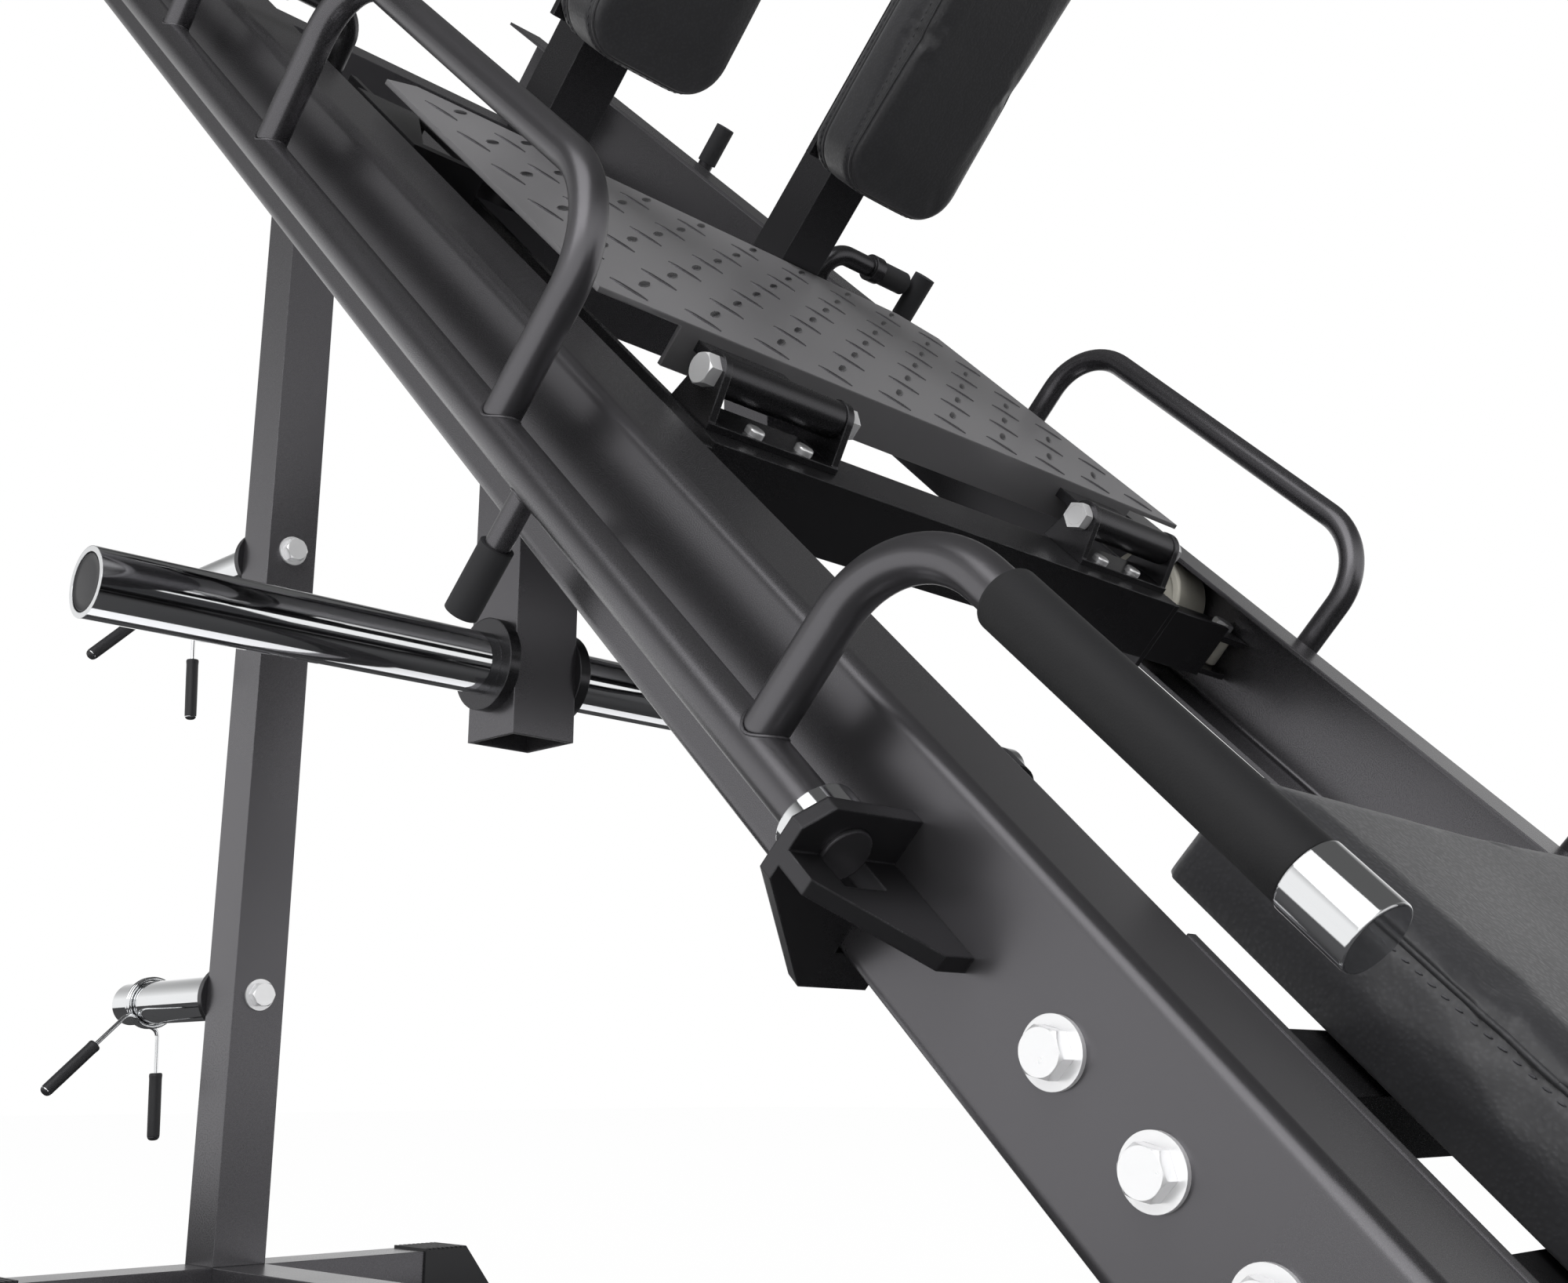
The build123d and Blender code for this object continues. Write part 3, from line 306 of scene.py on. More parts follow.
def turned(name, profile, steps):
    """Wall of revolution about z, open at both ends: profile is (radius, height) in metres."""
    bpy.ops.mesh.primitive_circle_add(vertices=steps, radius=profile[0][0], location=(0, 0, profile[0][1]))
    item = freeze(new_piece(name))
    with editing(item):
        for (radius, height), (last_radius, last_height) in zip(profile[1:], profile):
            rise = {"value": (0, 0, height - last_height)}
            bpy.ops.mesh.extrude_region_move(TRANSFORM_OT_translate=rise)
            share = radius / last_radius
            bpy.ops.transform.resize(value=(share, share, 1), center_override=(0, 0, height))
    return item


def in_metres(profile):
    return [(radius * MM, height * MM) for radius, height in profile]


def closed(item, ring=False):
    """Fill the open ends of a turned shape, or bridge them to a ring with a bore."""
    with editing(item, "DESELECT"):
        bpy.ops.mesh.select_non_manifold()
        if ring:
            bpy.ops.mesh.bridge_edge_loops()
        else:
            bpy.ops.mesh.edge_face_add()
    return outward(item)


# Shared shader groups

def new_group(name, inputs, outputs):
    """Shader group: inputs are {label: default}, outputs {label: kind of socket}."""
    group = bpy.data.node_groups.new(name, "ShaderNodeTree")
    for label, value in inputs.items():
        kind = "NodeSocketColor" if isinstance(value, tuple) else "NodeSocketFloat"
        socket = group.interface.new_socket(label, in_out="INPUT", socket_type=kind)
        socket.default_value = value
    for label, kind in outputs.items():
        group.interface.new_socket(label, in_out="OUTPUT", socket_type=kind)
    nodes = group.nodes
    return group, nodes.new("NodeGroupInput"), nodes.new("NodeGroupOutput")


def feed(tree, node, inputs):
    """Set or link inputs of a node: {label or index: value, or another node's output}."""
    for label, value in inputs.items():
        if isinstance(value, (int, float, tuple)):
            node.inputs[label].default_value = value
        else:
            tree.links.new(value, node.inputs[label])


def new_node(tree, kind, inputs=None, **settings):
    """Shader node of a kind, with its settings and its inputs."""
    node = tree.nodes.new("ShaderNode" + kind)
    for name, value in settings.items():
        setattr(node, name, value)
    feed(tree, node, inputs or {})
    return node


def math_node(tree, operation, first, second=None, clamp=False):
    inputs = {0: first} if second is None else {0: first, 1: second}
    return new_node(tree, "Math", inputs, operation=operation, use_clamp=clamp).outputs[0]


def scaled(tree, value, factor, base):
    """value * factor + base"""
    return math_node(tree, "ADD", math_node(tree, "MULTIPLY", value, factor), base)


def mix_colours(tree, share, first, second):
    return new_node(tree, "Mix", {0: share, 6: first, 7: second}, data_type="RGBA").outputs[2]


def ramp(tree, value, low, high):
    """Map a value from low..high to 0..1, clamped."""
    inputs = {"Value": value, "From Min": low, "From Max": high}
    return new_node(tree, "MapRange", inputs).outputs["Result"]


def noise(tree, vector, scale, detail):
    inputs = {"Vector": vector, "Scale": scale, "Detail": detail}
    return new_node(tree, "TexNoise", inputs).outputs["Fac"]


def object_coordinates(tree):
    return new_node(tree, "TexCoord").outputs["Object"]


def make_edge_wear():
    """Mask of the worn, outward edges, broken up by noise."""
    group, given, out = new_group(
        "Edge wear", {"Radius": 0.002, "Amount": 0.5},
        {"Mask": "NodeSocketFloat", "Normal": "NodeSocketVector"})
    bevel = new_node(group, "Bevel", {"Radius": given.outputs["Radius"]}, samples=4)
    normals = {0: bevel.outputs["Normal"], 1: new_node(group, "NewGeometry").outputs["Normal"]}
    dot = new_node(group, "VectorMath", normals, operation="DOT_PRODUCT")
    turn = math_node(group, "SUBTRACT", 1.0, dot.outputs["Value"])
    edge = ramp(group, turn, 0.03, 0.25)
    broken = ramp(group, noise(group, object_coordinates(group), 90.0, 4.0), 0.42, 0.62)
    mask = math_node(group, "MULTIPLY", edge, broken)
    amount = math_node(group, "MULTIPLY", mask, given.outputs["Amount"], True)
    feed(group, out, {"Mask": amount, "Normal": bevel.outputs["Normal"]})
    return group


def make_mottle():
    """Slow change of a colour over a surface, and a mask of its lighter patches."""
    group, given, out = new_group(
        "Mottle", {"Colour": (0.1, 0.1, 0.1, 1), "Scale": 4.0, "Variation": 0.12},
        {"Colour": "NodeSocketColor", "Patches": "NodeSocketFloat"})
    place = object_coordinates(group)
    broad = noise(group, place, given.outputs["Scale"], 3.0)
    centred = math_node(group, "SUBTRACT", broad, 0.5)
    swing = math_node(group, "MULTIPLY", centred, given.outputs["Variation"])
    brightness = scaled(group, swing, 2.0, 1.0)
    inputs = {0: given.outputs["Colour"], "Scale": brightness}
    colour = new_node(group, "VectorMath", inputs, operation="SCALE").outputs["Vector"]
    feed(group, out, {"Colour": colour, "Patches": ramp(group, broad, 0.35, 0.65)})
    return group


def make_coat_grain():
    """Orange peel of a powder coat: height of the lumps and a fine speckle."""
    group, given, out = new_group(
        "Coat grain", {"Scale": 420.0}, {"Height": "NodeSocketFloat", "Speckle": "NodeSocketFloat"})
    place = object_coordinates(group)
    lumps = noise(group, place, given.outputs["Scale"], 2.0)
    fine = noise(group, place, math_node(group, "MULTIPLY", given.outputs["Scale"], 4.0), 1.0)
    height = scaled(group, lumps, 0.75, math_node(group, "MULTIPLY", fine, 0.25))
    feed(group, out, {"Height": height, "Speckle": ramp(group, fine, 0.35, 0.65)})
    return group


def make_leather_grain():
    """Pebbled grain with finer pores and long soft creases."""
    group, given, out = new_group(
        "Leather grain", {"Scale": 330.0, "Creases": 0.5},
        {"Height": "NodeSocketFloat", "Pores": "NodeSocketFloat"})
    place = object_coordinates(group)
    warp = new_node(group, "TexNoise", {"Vector": place, "Scale": 60.0}).outputs["Color"]
    inputs = {0: warp, 1: (0.004, 0.004, 0.004), 2: place}
    shift = new_node(group, "VectorMath", inputs, operation="MULTIPLY_ADD").outputs["Vector"]
    inputs = {"Vector": shift, "Scale": given.outputs["Scale"]}
    cells = new_node(group, "TexVoronoi", inputs, feature="SMOOTH_F1")
    valley = math_node(group, "MULTIPLY", cells.outputs["Distance"], 1.6)
    pebble = math_node(group, "SUBTRACT", 1.0, valley, True)
    long_way = new_node(group, "Mapping", {"Vector": place, "Scale": (1.0, 0.35, 0.35)})
    crease = noise(group, long_way.outputs["Vector"], 26.0, 5.0)
    fold = math_node(group, "ABSOLUTE", math_node(group, "SUBTRACT", crease, 0.5))
    line = math_node(group, "SUBTRACT", 1.0, ramp(group, fold, 0.0, 0.022))
    sunk = math_node(group, "MULTIPLY", line, given.outputs["Creases"])
    height = math_node(group, "SUBTRACT", pebble, sunk)
    feed(group, out, {"Height": height, "Pores": ramp(group, pebble, 0.25, 0.7)})
    return group


def make_brush():
    """Fine streaks of drawn or turned metal along one direction."""
    group, given, out = new_group(
        "Brushed streaks", {"Scale": 160.0}, {"Streaks": "NodeSocketFloat"})
    inputs = {"Vector": object_coordinates(group), "Scale": (0.08, 1.0, 1.0)}
    stretch = new_node(group, "Mapping", inputs)
    streaks = noise(group, stretch.outputs["Vector"], given.outputs["Scale"], 3.0)
    feed(group, out, {"Streaks": streaks})
    return group


def make_foam_cells():
    """Open skin of a foam sleeve."""
    group, given, out = new_group(
        "Foam skin", {"Scale": 1100.0}, {"Height": "NodeSocketFloat"})
    place = object_coordinates(group)
    cells = new_node(group, "TexVoronoi", {"Vector": place, "Scale": given.outputs["Scale"]})
    soft = noise(group, place, 260.0, 3.0)
    feed(group, out, {"Height": scaled(group, cells.outputs["Distance"], 0.6, soft)})
    return group


def make_groups():
    GROUPS.update(
        wear=make_edge_wear(), mottle=make_mottle(), coat=make_coat_grain(), leather=make_leather_grain(),
        brush=make_brush(), foam=make_foam_cells())


def place_group(tree, name, **values):
    return new_node(tree, "Group", values, node_tree=GROUPS[name])


def new_finish(name, colour, scale, variation):
    """Material with a mottled colour: (material, tree, shader, mottle)."""
    material = bpy.data.materials.new(name)
    material.use_nodes = True
    tree = material.node_tree
    mottle = place_group(tree, "mottle", Colour=(*colour, 1), Scale=scale, Variation=variation)
    return material, tree, tree.nodes["Principled BSDF"], mottle


def set_bump(tree, shader, height, distance, normal=None):
    bump = new_node(tree, "Bump", {"Strength": 1.0, "Distance": distance, "Height": height})
    if normal is not None:
        feed(tree, bump, {"Normal": normal})
    feed(tree, shader, {"Normal": bump.outputs["Normal"]})


def coated_steel(name, colour, roughness=0.28, worn=(0.2, 0.2, 0.21), amount=0.45, metallic=0.86):
    """Satin metallic coat: slow mottle, orange peel, edges rubbed a little lighter."""
    material, tree, shader, mottle = new_finish(name, colour, 3.5, 0.1)
    wear = place_group(tree, "wear", Radius=0.0016, Amount=amount)
    coat = place_group(tree, "coat", Scale=420.0)
    speckle = math_node(tree, "MULTIPLY", coat.outputs["Speckle"], 0.04)
    rough = scaled(tree, mottle.outputs["Patches"], 0.06, speckle)
    base = math_node(tree, "ADD", rough, roughness - 0.05)
    rubbed = math_node(tree, "MULTIPLY", wear.outputs["Mask"], 0.1)
    feed(tree, shader, {
        "Base Color": mix_colours(tree, wear.outputs["Mask"], mottle.outputs["Colour"], (*worn, 1)),
        "Roughness": math_node(tree, "SUBTRACT", base, rubbed),
        "Metallic": metallic, "Specular IOR Level": 0.5})
    set_bump(tree, shader, coat.outputs["Height"], 0.00002, wear.outputs["Normal"])
    return material


def plated_steel(name, colour, roughness, spread, streaks, edge=0.0008, metallic=1.0):
    """Bare plating: metal with streaked roughness and softened edges."""
    material, tree, shader, mottle = new_finish(name, colour, 14.0, 0.03)
    brush = place_group(tree, "brush", Scale=streaks)
    wear = place_group(tree, "wear", Radius=edge, Amount=0.0)
    feed(tree, shader, {
        "Base Color": mottle.outputs["Colour"],
        "Roughness": scaled(tree, brush.outputs["Streaks"], spread, roughness),
        "Metallic": metallic})
    set_bump(tree, shader, brush.outputs["Streaks"], 0.000004, wear.outputs["Normal"])
    return material


def moulded(name, colour, roughness, grain=900.0, depth=0.00003, edge=0.001, specular=0.4, worn=None):
    """Moulded plastic, nylon or rubber with a fine moulded texture."""
    material, tree, shader, mottle = new_finish(name, colour, 9.0, 0.12)
    wear = place_group(tree, "wear", Radius=edge, Amount=0.35)
    coat = place_group(tree, "coat", Scale=grain)
    lighter = worn or tuple(min(1.0, channel * 1.6 + 0.01) for channel in colour)
    feed(tree, shader, {
        "Base Color": mix_colours(tree, wear.outputs["Mask"], mottle.outputs["Colour"], (*lighter, 1)),
        "Roughness": scaled(tree, mottle.outputs["Patches"], 0.08, roughness),
        "Specular IOR Level": specular})
    set_bump(tree, shader, coat.outputs["Height"], depth, wear.outputs["Normal"])
    return material


def grained_leather(name, colour):
    """Leather with darker pores and a faint sheen."""
    material, tree, shader, mottle = new_finish(name, colour, 7.0, 0.15)
    grain = place_group(tree, "leather", Scale=430.0, Creases=0.8)
    dark = tuple(channel * 0.8 for channel in colour)
    rough = scaled(tree, grain.outputs["Pores"], -0.08, 0.42)
    feed(tree, shader, {
        "Base Color": mix_colours(tree, grain.outputs["Pores"], (*dark, 1), mottle.outputs["Colour"]),
        "Roughness": scaled(tree, mottle.outputs["Patches"], 0.06, rough),
        "Specular IOR Level": 0.5, "Sheen Weight": 0.16, "Sheen Roughness": 0.4})
    set_bump(tree, shader, grain.outputs["Height"], 0.00008)
    return material


def foam_skin(name, colour):
    """Rough foam with an open skin."""
    material, tree, shader, mottle = new_finish(name, colour, 11.0, 0.15)
    feed(tree, shader, {
        "Base Color": mottle.outputs["Colour"],
        "Roughness": scaled(tree, mottle.outputs["Patches"], 0.08, 0.62),
        "Specular IOR Level": 0.35, "Sheen Weight": 0.03, "Sheen Roughness": 0.5})
    foam = place_group(tree, "foam", Scale=1100.0)
    set_bump(tree, shader, foam.outputs["Height"], 0.00006)
    return material


def thread(name, colour):
    """Twisted sewing thread."""
    material, tree, shader, mottle = new_finish(name, colour, 300.0, 0.3)
    brush = place_group(tree, "brush", Scale=2400.0)
    feed(tree, shader, {
        "Base Color": mottle.outputs["Colour"],
        "Roughness": scaled(tree, brush.outputs["Streaks"], 0.2, 0.5)})
    set_bump(tree, shader, brush.outputs["Streaks"], 0.00008)
    return material


class LEGPRESS_OT_finishes(bpy.types.Operator):
    """Make the finishes and give every carried-over part its own"""

    bl_idname = "legpress.finishes"
    bl_label = "Finishes"

    def execute(self, context):
        look = context.scene.legpress_finish
        make_groups()
        FINISHES.update(
            graphite_paint=coated_steel("Graphite powder coat", tuple(look.coat)),
            black_paint=coated_steel("Dark powder coat", tuple(look.dark_coat)),
            # Painted light: a lighter, rougher copy of the graphite coat for the foot plates
            tread_paint=coated_steel(
                "Tread coat with painted light", tuple(look.tread), 0.36, (0.26, 0.26, 0.27), 0.5, 0.6),
            zinc=plated_steel("Bright zinc", (0.93, 0.93, 0.94), 0.2, 0.1, 160.0, 0.0003, 0.6),
            chrome=plated_steel("Polished chrome", (0.82, 0.83, 0.84), 0.02, 0.05, 90.0),
            black_rubber=moulded("Black rubber", (0.022, 0.022, 0.024), 0.6, 700.0, 0.00004, 0.001, 0.3),
            black_leather=grained_leather("Grained leather", tuple(look.leather)),
            foam=foam_skin("Grip foam", tuple(look.foam)),
            thread=thread("Seam thread", (0.045, 0.045, 0.05)),
            nylon=moulded("Nylon", tuple(look.nylon), 0.4, 500.0, 0.00003, 0.0012, 0.45, (0.7, 0.68, 0.62)),
            black_plastic=moulded("Black plastic", (0.022, 0.022, 0.024), 0.42),
        )
        for row in frame["record"]["subparts"]:
            node = frame["nodes"][row["node"]]
            # The foot plates take the copy of the coat with painted light
            finish = FINISHES["tread_paint" if row["node"] in TREAD_NODES else row["material_slot"]]
            for place in node.material_slots:
                place.material = finish
            if not node.material_slots:
                node.data.materials.append(finish)
        return {"FINISHED"}


# Upholstery

def pick_edges(item, wanted):
    """Select the edges whose lower and higher ends pass the test."""
    bpy.ops.mesh.select_all(action="DESELECT")
    work = bmesh.from_edit_mesh(item.data)
    for side in work.edges:
        side.select = wanted(*sorted(end.co.z for end in side.verts))
    bmesh.update_edit_mesh(item.data)


def pad_block(name, width, length, thickness, corner, inset, edge):
    """Slab with round corners and rolled edges, a little smaller than the pad, on z = 0."""
    bpy.ops.mesh.primitive_cube_add(size=1, location=(0, 0, thickness / 2))
    item = new_piece(name)
    item.scale = (width - 2 * inset, length - 2 * inset, thickness)
    freeze(item)
    with editing(item, "DESELECT"):
        bpy.ops.mesh.select_mode(type="EDGE")
        pick_edges(item, lambda low, high: high - low > thickness / 2)
        bpy.ops.mesh.bevel(offset=corner - inset, segments=8, affect="EDGES")
        pick_edges(item, lambda low, high: low > thickness - MM)
        bpy.ops.mesh.bevel(offset=edge, segments=4, affect="EDGES")
    return item


def remeshed(item, voxel):
    modifier = item.modifiers.new("Cover", "REMESH")
    modifier.mode = "VOXEL"
    modifier.voxel_size = voxel
    return apply_all(item)


def points_of(item):
    places = np.empty(len(item.data.vertices) * 3)
    item.data.vertices.foreach_get("co", places)
    return places.reshape(-1, 3)


def set_points(item, places):
    item.data.vertices.foreach_set("co", places.ravel())
    item.data.update()


def inflate(item, pressure, swell):
    """Let the filling push the cover out, its flat base held on the board."""
    rest = points_of(item)
    base = item.vertex_groups.new(name="base")
    low = rest[:, 2].min()
    held = [int(index) for index in np.nonzero(rest[:, 2] < low + BASE_HELD)[0]]
    base.add(held, 1.0, "REPLACE")
    modifier = item.modifiers.new("Filling", "CLOTH")
    modifier.settings.use_pressure = True
    modifier.settings.uniform_pressure_force = pressure
    modifier.settings.effector_weights.gravity = 0
    modifier.settings.tension_stiffness = CLOTH_STRETCH
    modifier.settings.compression_stiffness = CLOTH_STRETCH
    modifier.settings.bending_stiffness = CLOTH_BEND
    modifier.settings.vertex_group_mass = "base"
    modifier.point_cache.frame_start = 1
    modifier.point_cache.frame_end = CLOTH_FRAMES
    for step in range(1, CLOTH_FRAMES + 1):
        bpy.context.scene.frame_set(step)
    apply_all(item)
    moved = points_of(item) - rest
    reach = np.linalg.norm(moved, axis=1)
    share = np.minimum(1.0, swell / np.maximum(reach, 1e-9))
    set_points(item, rest + moved * share[:, None])
    bpy.context.scene.frame_set(1)
    item.vertex_groups.clear()
    return item


def seam_route(width, length, corner, step):
    """Points and outward directions round a rounded rectangle, evenly spaced."""
    half_x, half_y = width / 2 - corner, length / 2 - corner
    corners = [(half_x, half_y, 0), (-half_x, half_y, 90), (-half_x, -half_y, 180), (half_x, -half_y, 270)]
    route = []
    turns = 12
    for x, y, start in corners:
        for part in range(turns + 1):
            angle = radians(start + 90 * part / turns)
            across, along = cos(angle), sin(angle)
            point = Vector((x + corner * across, y + corner * along))
            route.append((point, Vector((across, along))))
    loop = route + [route[0]]
    spaced, left = [], 0.0
    for (first, first_way), (last, last_way) in zip(loop, loop[1:]):
        span = (last - first).length
        place = left
        while place < span:
            share = place / span
            spaced.append((first.lerp(last, share), first_way.lerp(last_way, share).normalized()))
            place += step
        left = place - span
    return spaced


def pinch(item, width, length, corner, height, depth, spread):
    """Draw the cover in along a seam that runs round the pad at one height."""
    places = points_of(item)
    half_x, half_y = width / 2 - corner, length / 2 - corner
    off = np.stack([np.clip(places[:, 0], -half_x, half_x), np.clip(places[:, 1], -half_y, half_y)], axis=1)
    out = places[:, :2] - off
    reach = np.linalg.norm(out, axis=1)
    way = out / np.maximum(reach, 1e-9)[:, None]
    near = np.exp(-((places[:, 2] - height) / spread) ** 2) * (reach > corner * 0.55)
    places[:, :2] -= way * (near * depth)[:, None]
    set_points(item, places)
    return item


def surface_of(item):
    graph = bpy.context.evaluated_depsgraph_get()
    return BVHTree.FromObject(item, graph)


def seam_places(item, width, length, corner, height, step, sink):
    """Where a seam at one height meets the cover: point, outward way, along way."""
    tree = surface_of(item)
    found = []
    for place, way in seam_route(width, length, corner, step):
        outside = Vector((place.x + way.x * 0.05, place.y + way.y * 0.05, height))
        hit = tree.ray_cast(outside, Vector((-way.x, -way.y, 0)))[0]
        if hit is not None:
            out = Vector((way.x, way.y, 0))
            found.append((hit - out * sink, out, Vector((-way.y, way.x, 0))))
    return found


def welt(name, places, radius):
    """Round welt along a closed seam."""
    bpy.ops.curve.primitive_bezier_circle_add()
    item = bpy.context.object
    item.name = name
    curve = item.data
    curve.splines.clear()
    spline = curve.splines.new("NURBS")
    spline.points.add(len(places) - 1)
    for point, (place, *_) in zip(spline.points, places):
        point.co = (*place, 1)
    spline.use_cyclic_u = True
    spline.order_u = 3
    spline.resolution_u = 2
    curve.bevel_depth = radius
    curve.bevel_resolution = 3
    activate(item)
    bpy.ops.object.convert(target="MESH")
    return new_piece(name)


def stitches(name, places, length, radius):
    """One short thread per place, slightly slanted, each with its own mesh."""
    bpy.ops.mesh.primitive_uv_sphere_add(segments=6, ring_count=5, radius=1)
    pattern = new_piece(name + "_pattern")
    pattern.scale = (radius, length / 2, radius)
    freeze(pattern)
    made = []
    for place, out, along in places:
        up = out.cross(along)
        slant = Matrix.Rotation(STITCH_SLANT, 4, out)
        turn = Matrix((out, along, up)).transposed().to_4x4()
        made.append(copy_at(pattern, Matrix.Translation(place) @ slant @ turn))
    bpy.data.objects.remove(pattern)
    return join(made, name)


def build_pad(name, pad, voxel, swell, sizes, seams):
    """One pad on z = 0: (cover, welts, stitches)."""
    width, length, thickness, corner = pad
    edge = min(COVER_EDGE, corner - COVER_INSET - MM)
    cover = pad_block(name, width, length, thickness - COVER_DROP, corner, COVER_INSET, edge)
    remeshed(cover, voxel)
    inflate(cover, sizes.pressure, swell)
    modifier = cover.modifiers.new("Fine cover", "SUBSURF")
    modifier.levels = modifier.render_levels = 1
    apply_all(cover)
    for height in seams:
        pinch(cover, width, length, corner, height, SEAM_DEPTH, SEAM_SPREAD)
    places = points_of(cover)
    limit = np.array([width / 2, length / 2, thickness])
    places[:, :2] = np.clip(places[:, :2], -limit[:2], limit[:2])
    places[:, 2] = np.clip(places[:, 2], 0, limit[2])
    set_points(cover, places)
    activate(cover)
    bpy.ops.object.shade_smooth()
    threads, welts = [], []
    for index, height in enumerate(seams):
        route = seam_places(cover, width, length, corner, height, WELT_STEP, sizes.welt * WELT_SINK)
        welts.append(welt(f"{name}_welt_{index}", route, sizes.welt))
        row = seam_places(cover, width, length, corner, height - STITCH_DROP, sizes.stitch, 0.0)
        threads.append(stitches(f"{name}_row_{index}", row, sizes.stitch * STITCH_SHARE, THREAD_RADIUS))
    return cover, smooth(join(welts, name + "_welts"), 80), smooth(join(threads, name + "_stitches"), 80)


def lay_pad(parts, place, body, node):
    """Put a pad and its trim in place, and let them stand for the CAD pad."""
    cover, welts, threads = parts
    for item in parts:
        freeze(item)
        item.data.transform(place)
        item.data.update()
    dress(cover, body, "black_leather", node)
    dress(welts, body, "black_leather")
    dress(threads, body, "black_leather", finish="thread")


class LEGPRESS_OT_seat(bpy.types.Operator):
    """Make the seat cushion"""

    bl_idname = "legpress.seat"
    bl_label = "Seat cushion"

    def execute(self, context):
        sizes = context.scene.legpress_pads
        parts = build_pad("seat_cushion", SEAT_PAD, sizes.voxel, sizes.swell, sizes, PAD_SEAMS)
        place = RAIL_TURN @ Matrix.Translation(SEAT_PLACE)
        lay_pad(parts, place, "frame", "seat_pad")
        return {"FINISHED"}


class LEGPRESS_OT_backrest(bpy.types.Operator):
    """Make the backrest cushion"""

    bl_idname = "legpress.backrest"
    bl_label = "Backrest cushion"

    def execute(self, context):
        sizes = context.scene.legpress_pads
        parts = build_pad("backrest_cushion", BACKREST_PAD, BACKREST_MESH, sizes.swell, sizes, PAD_SEAMS)
        turn = Matrix.Rotation(radians(-90), 4, "X")
        place = RAIL_TURN @ Matrix.Translation(BACKREST_PLACE) @ turn
        lay_pad(parts, place, "backrest", "backrest_pad")
        return {"FINISHED"}


class LEGPRESS_OT_shoulder_pads(bpy.types.Operator):
    """Make both shoulder cushions"""

    bl_idname = "legpress.shoulder_pads"
    bl_label = "Shoulder cushions"

    def execute(self, context):
        sizes = context.scene.legpress_pads
        parts = build_pad(
            "right_shoulder_cushion", SHOULDER_PAD, SHOULDER_MESH, SHOULDER_SWELL, sizes, SHOULDER_SEAMS)
        turn = Matrix.Rotation(radians(90), 4, "X")
        place = RAIL_TURN @ Matrix.Translation(SHOULDER_PLACE) @ turn
        lay_pad(parts, place, "carriage", "right_shoulder_pad")
        twins = [mirrored(item, item.name.replace("right", "left")) for item in parts]
        finishes = ("black_leather", "black_leather", "thread")
        for item, finish in zip(twins, finishes):
            # A copy carries the first piece's marks, so it is cleared before its own
            item.parent = None
            for key in list(item.keys()):
                if key.startswith("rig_"):
                    del item[key]
            dress(item, "carriage", "black_leather", finish=finish)
        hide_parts("left_shoulder_pad")
        return {"FINISHED"}


# Grips, in millimetres

SLEEVE_BORE, SLEEVE_OUTER, SLEEVE_LIP, SLEEVE_WAIST = 11.0, 14.4, 3.0, 0.25
SLEEVE_START, SLEEVE_END = 357, 526


class LEGPRESS_OT_foam_grips(bpy.types.Operator):
    """Make the foam sleeves of the J handles"""

    bl_idname = "legpress.foam_grips"
    bl_label = "Foam grips"

    def execute(self, context):
        bore, outer, lip = SLEEVE_BORE, SLEEVE_OUTER, SLEEVE_LIP
        start, end = SLEEVE_START, SLEEVE_END
        profile = [(bore, start)]
        for step in range(6):
            angle = radians(18 * step)
            profile.append((outer - lip + lip * sin(angle), start + 1 - cos(angle)))
        for step in range(1, 8):
            waist = outer - SLEEVE_WAIST * sin(pi * step / 8)
            profile.append((waist, start + 1 + (end - start - lip - 1) * step / 8))
        for step in range(6):
            angle = radians(18 * step)
            profile.append((outer - lip + lip * cos(angle), end - lip + lip * sin(angle)))
        profile.append((bore, end))
        item = turned("right_foam_sleeve", in_metres(profile), 64)
        closed(item, ring=True)
        smooth(item, 50)
        item.rotation_euler = (radians(-90), 0, 0)
        item.location = (LOCKOUT_X * MM, 0, J_RISE * MM)
        to_rails(item)
        twin = mirrored(item, "left_foam_sleeve")
        smooth(twin, 50)
        for side, sleeve in (("right", item), ("left", twin)):
            dress(sleeve, f"{side}_lockout", "black_rubber", f"{side}_foam_grip", finish="foam")
        return {"FINISHED"}


COIL_START = radians(225)
COIL_END = radians(225 + 768)
COIL_RADIUS = 28
WIRE_PITCH = 6
WIRE_BEND = 12
WIRE_TAIL = 43
COLLAR_START = 1924


def collar_tail(angle, way, z):
    """End of one tail of the spring collar at height z, and the way on from it."""
    rise = WIRE_PITCH / (2 * pi)
    along_horn = COLLAR_START + rise * (angle - COIL_START)
    place = Vector((COIL_RADIUS * cos(angle), along_horn, z / MM + COIL_RADIUS * sin(angle)))
    wire_way = Vector((-COIL_RADIUS * sin(angle), rise, COIL_RADIUS * cos(angle))).normalized() * way
    out = Vector((cos(angle), 0, sin(angle)))
    end = place + (out + wire_way) * WIRE_BEND + out * WIRE_TAIL
    return end * MM + Vector((0, FLOOR_SHIFT, 0)), out


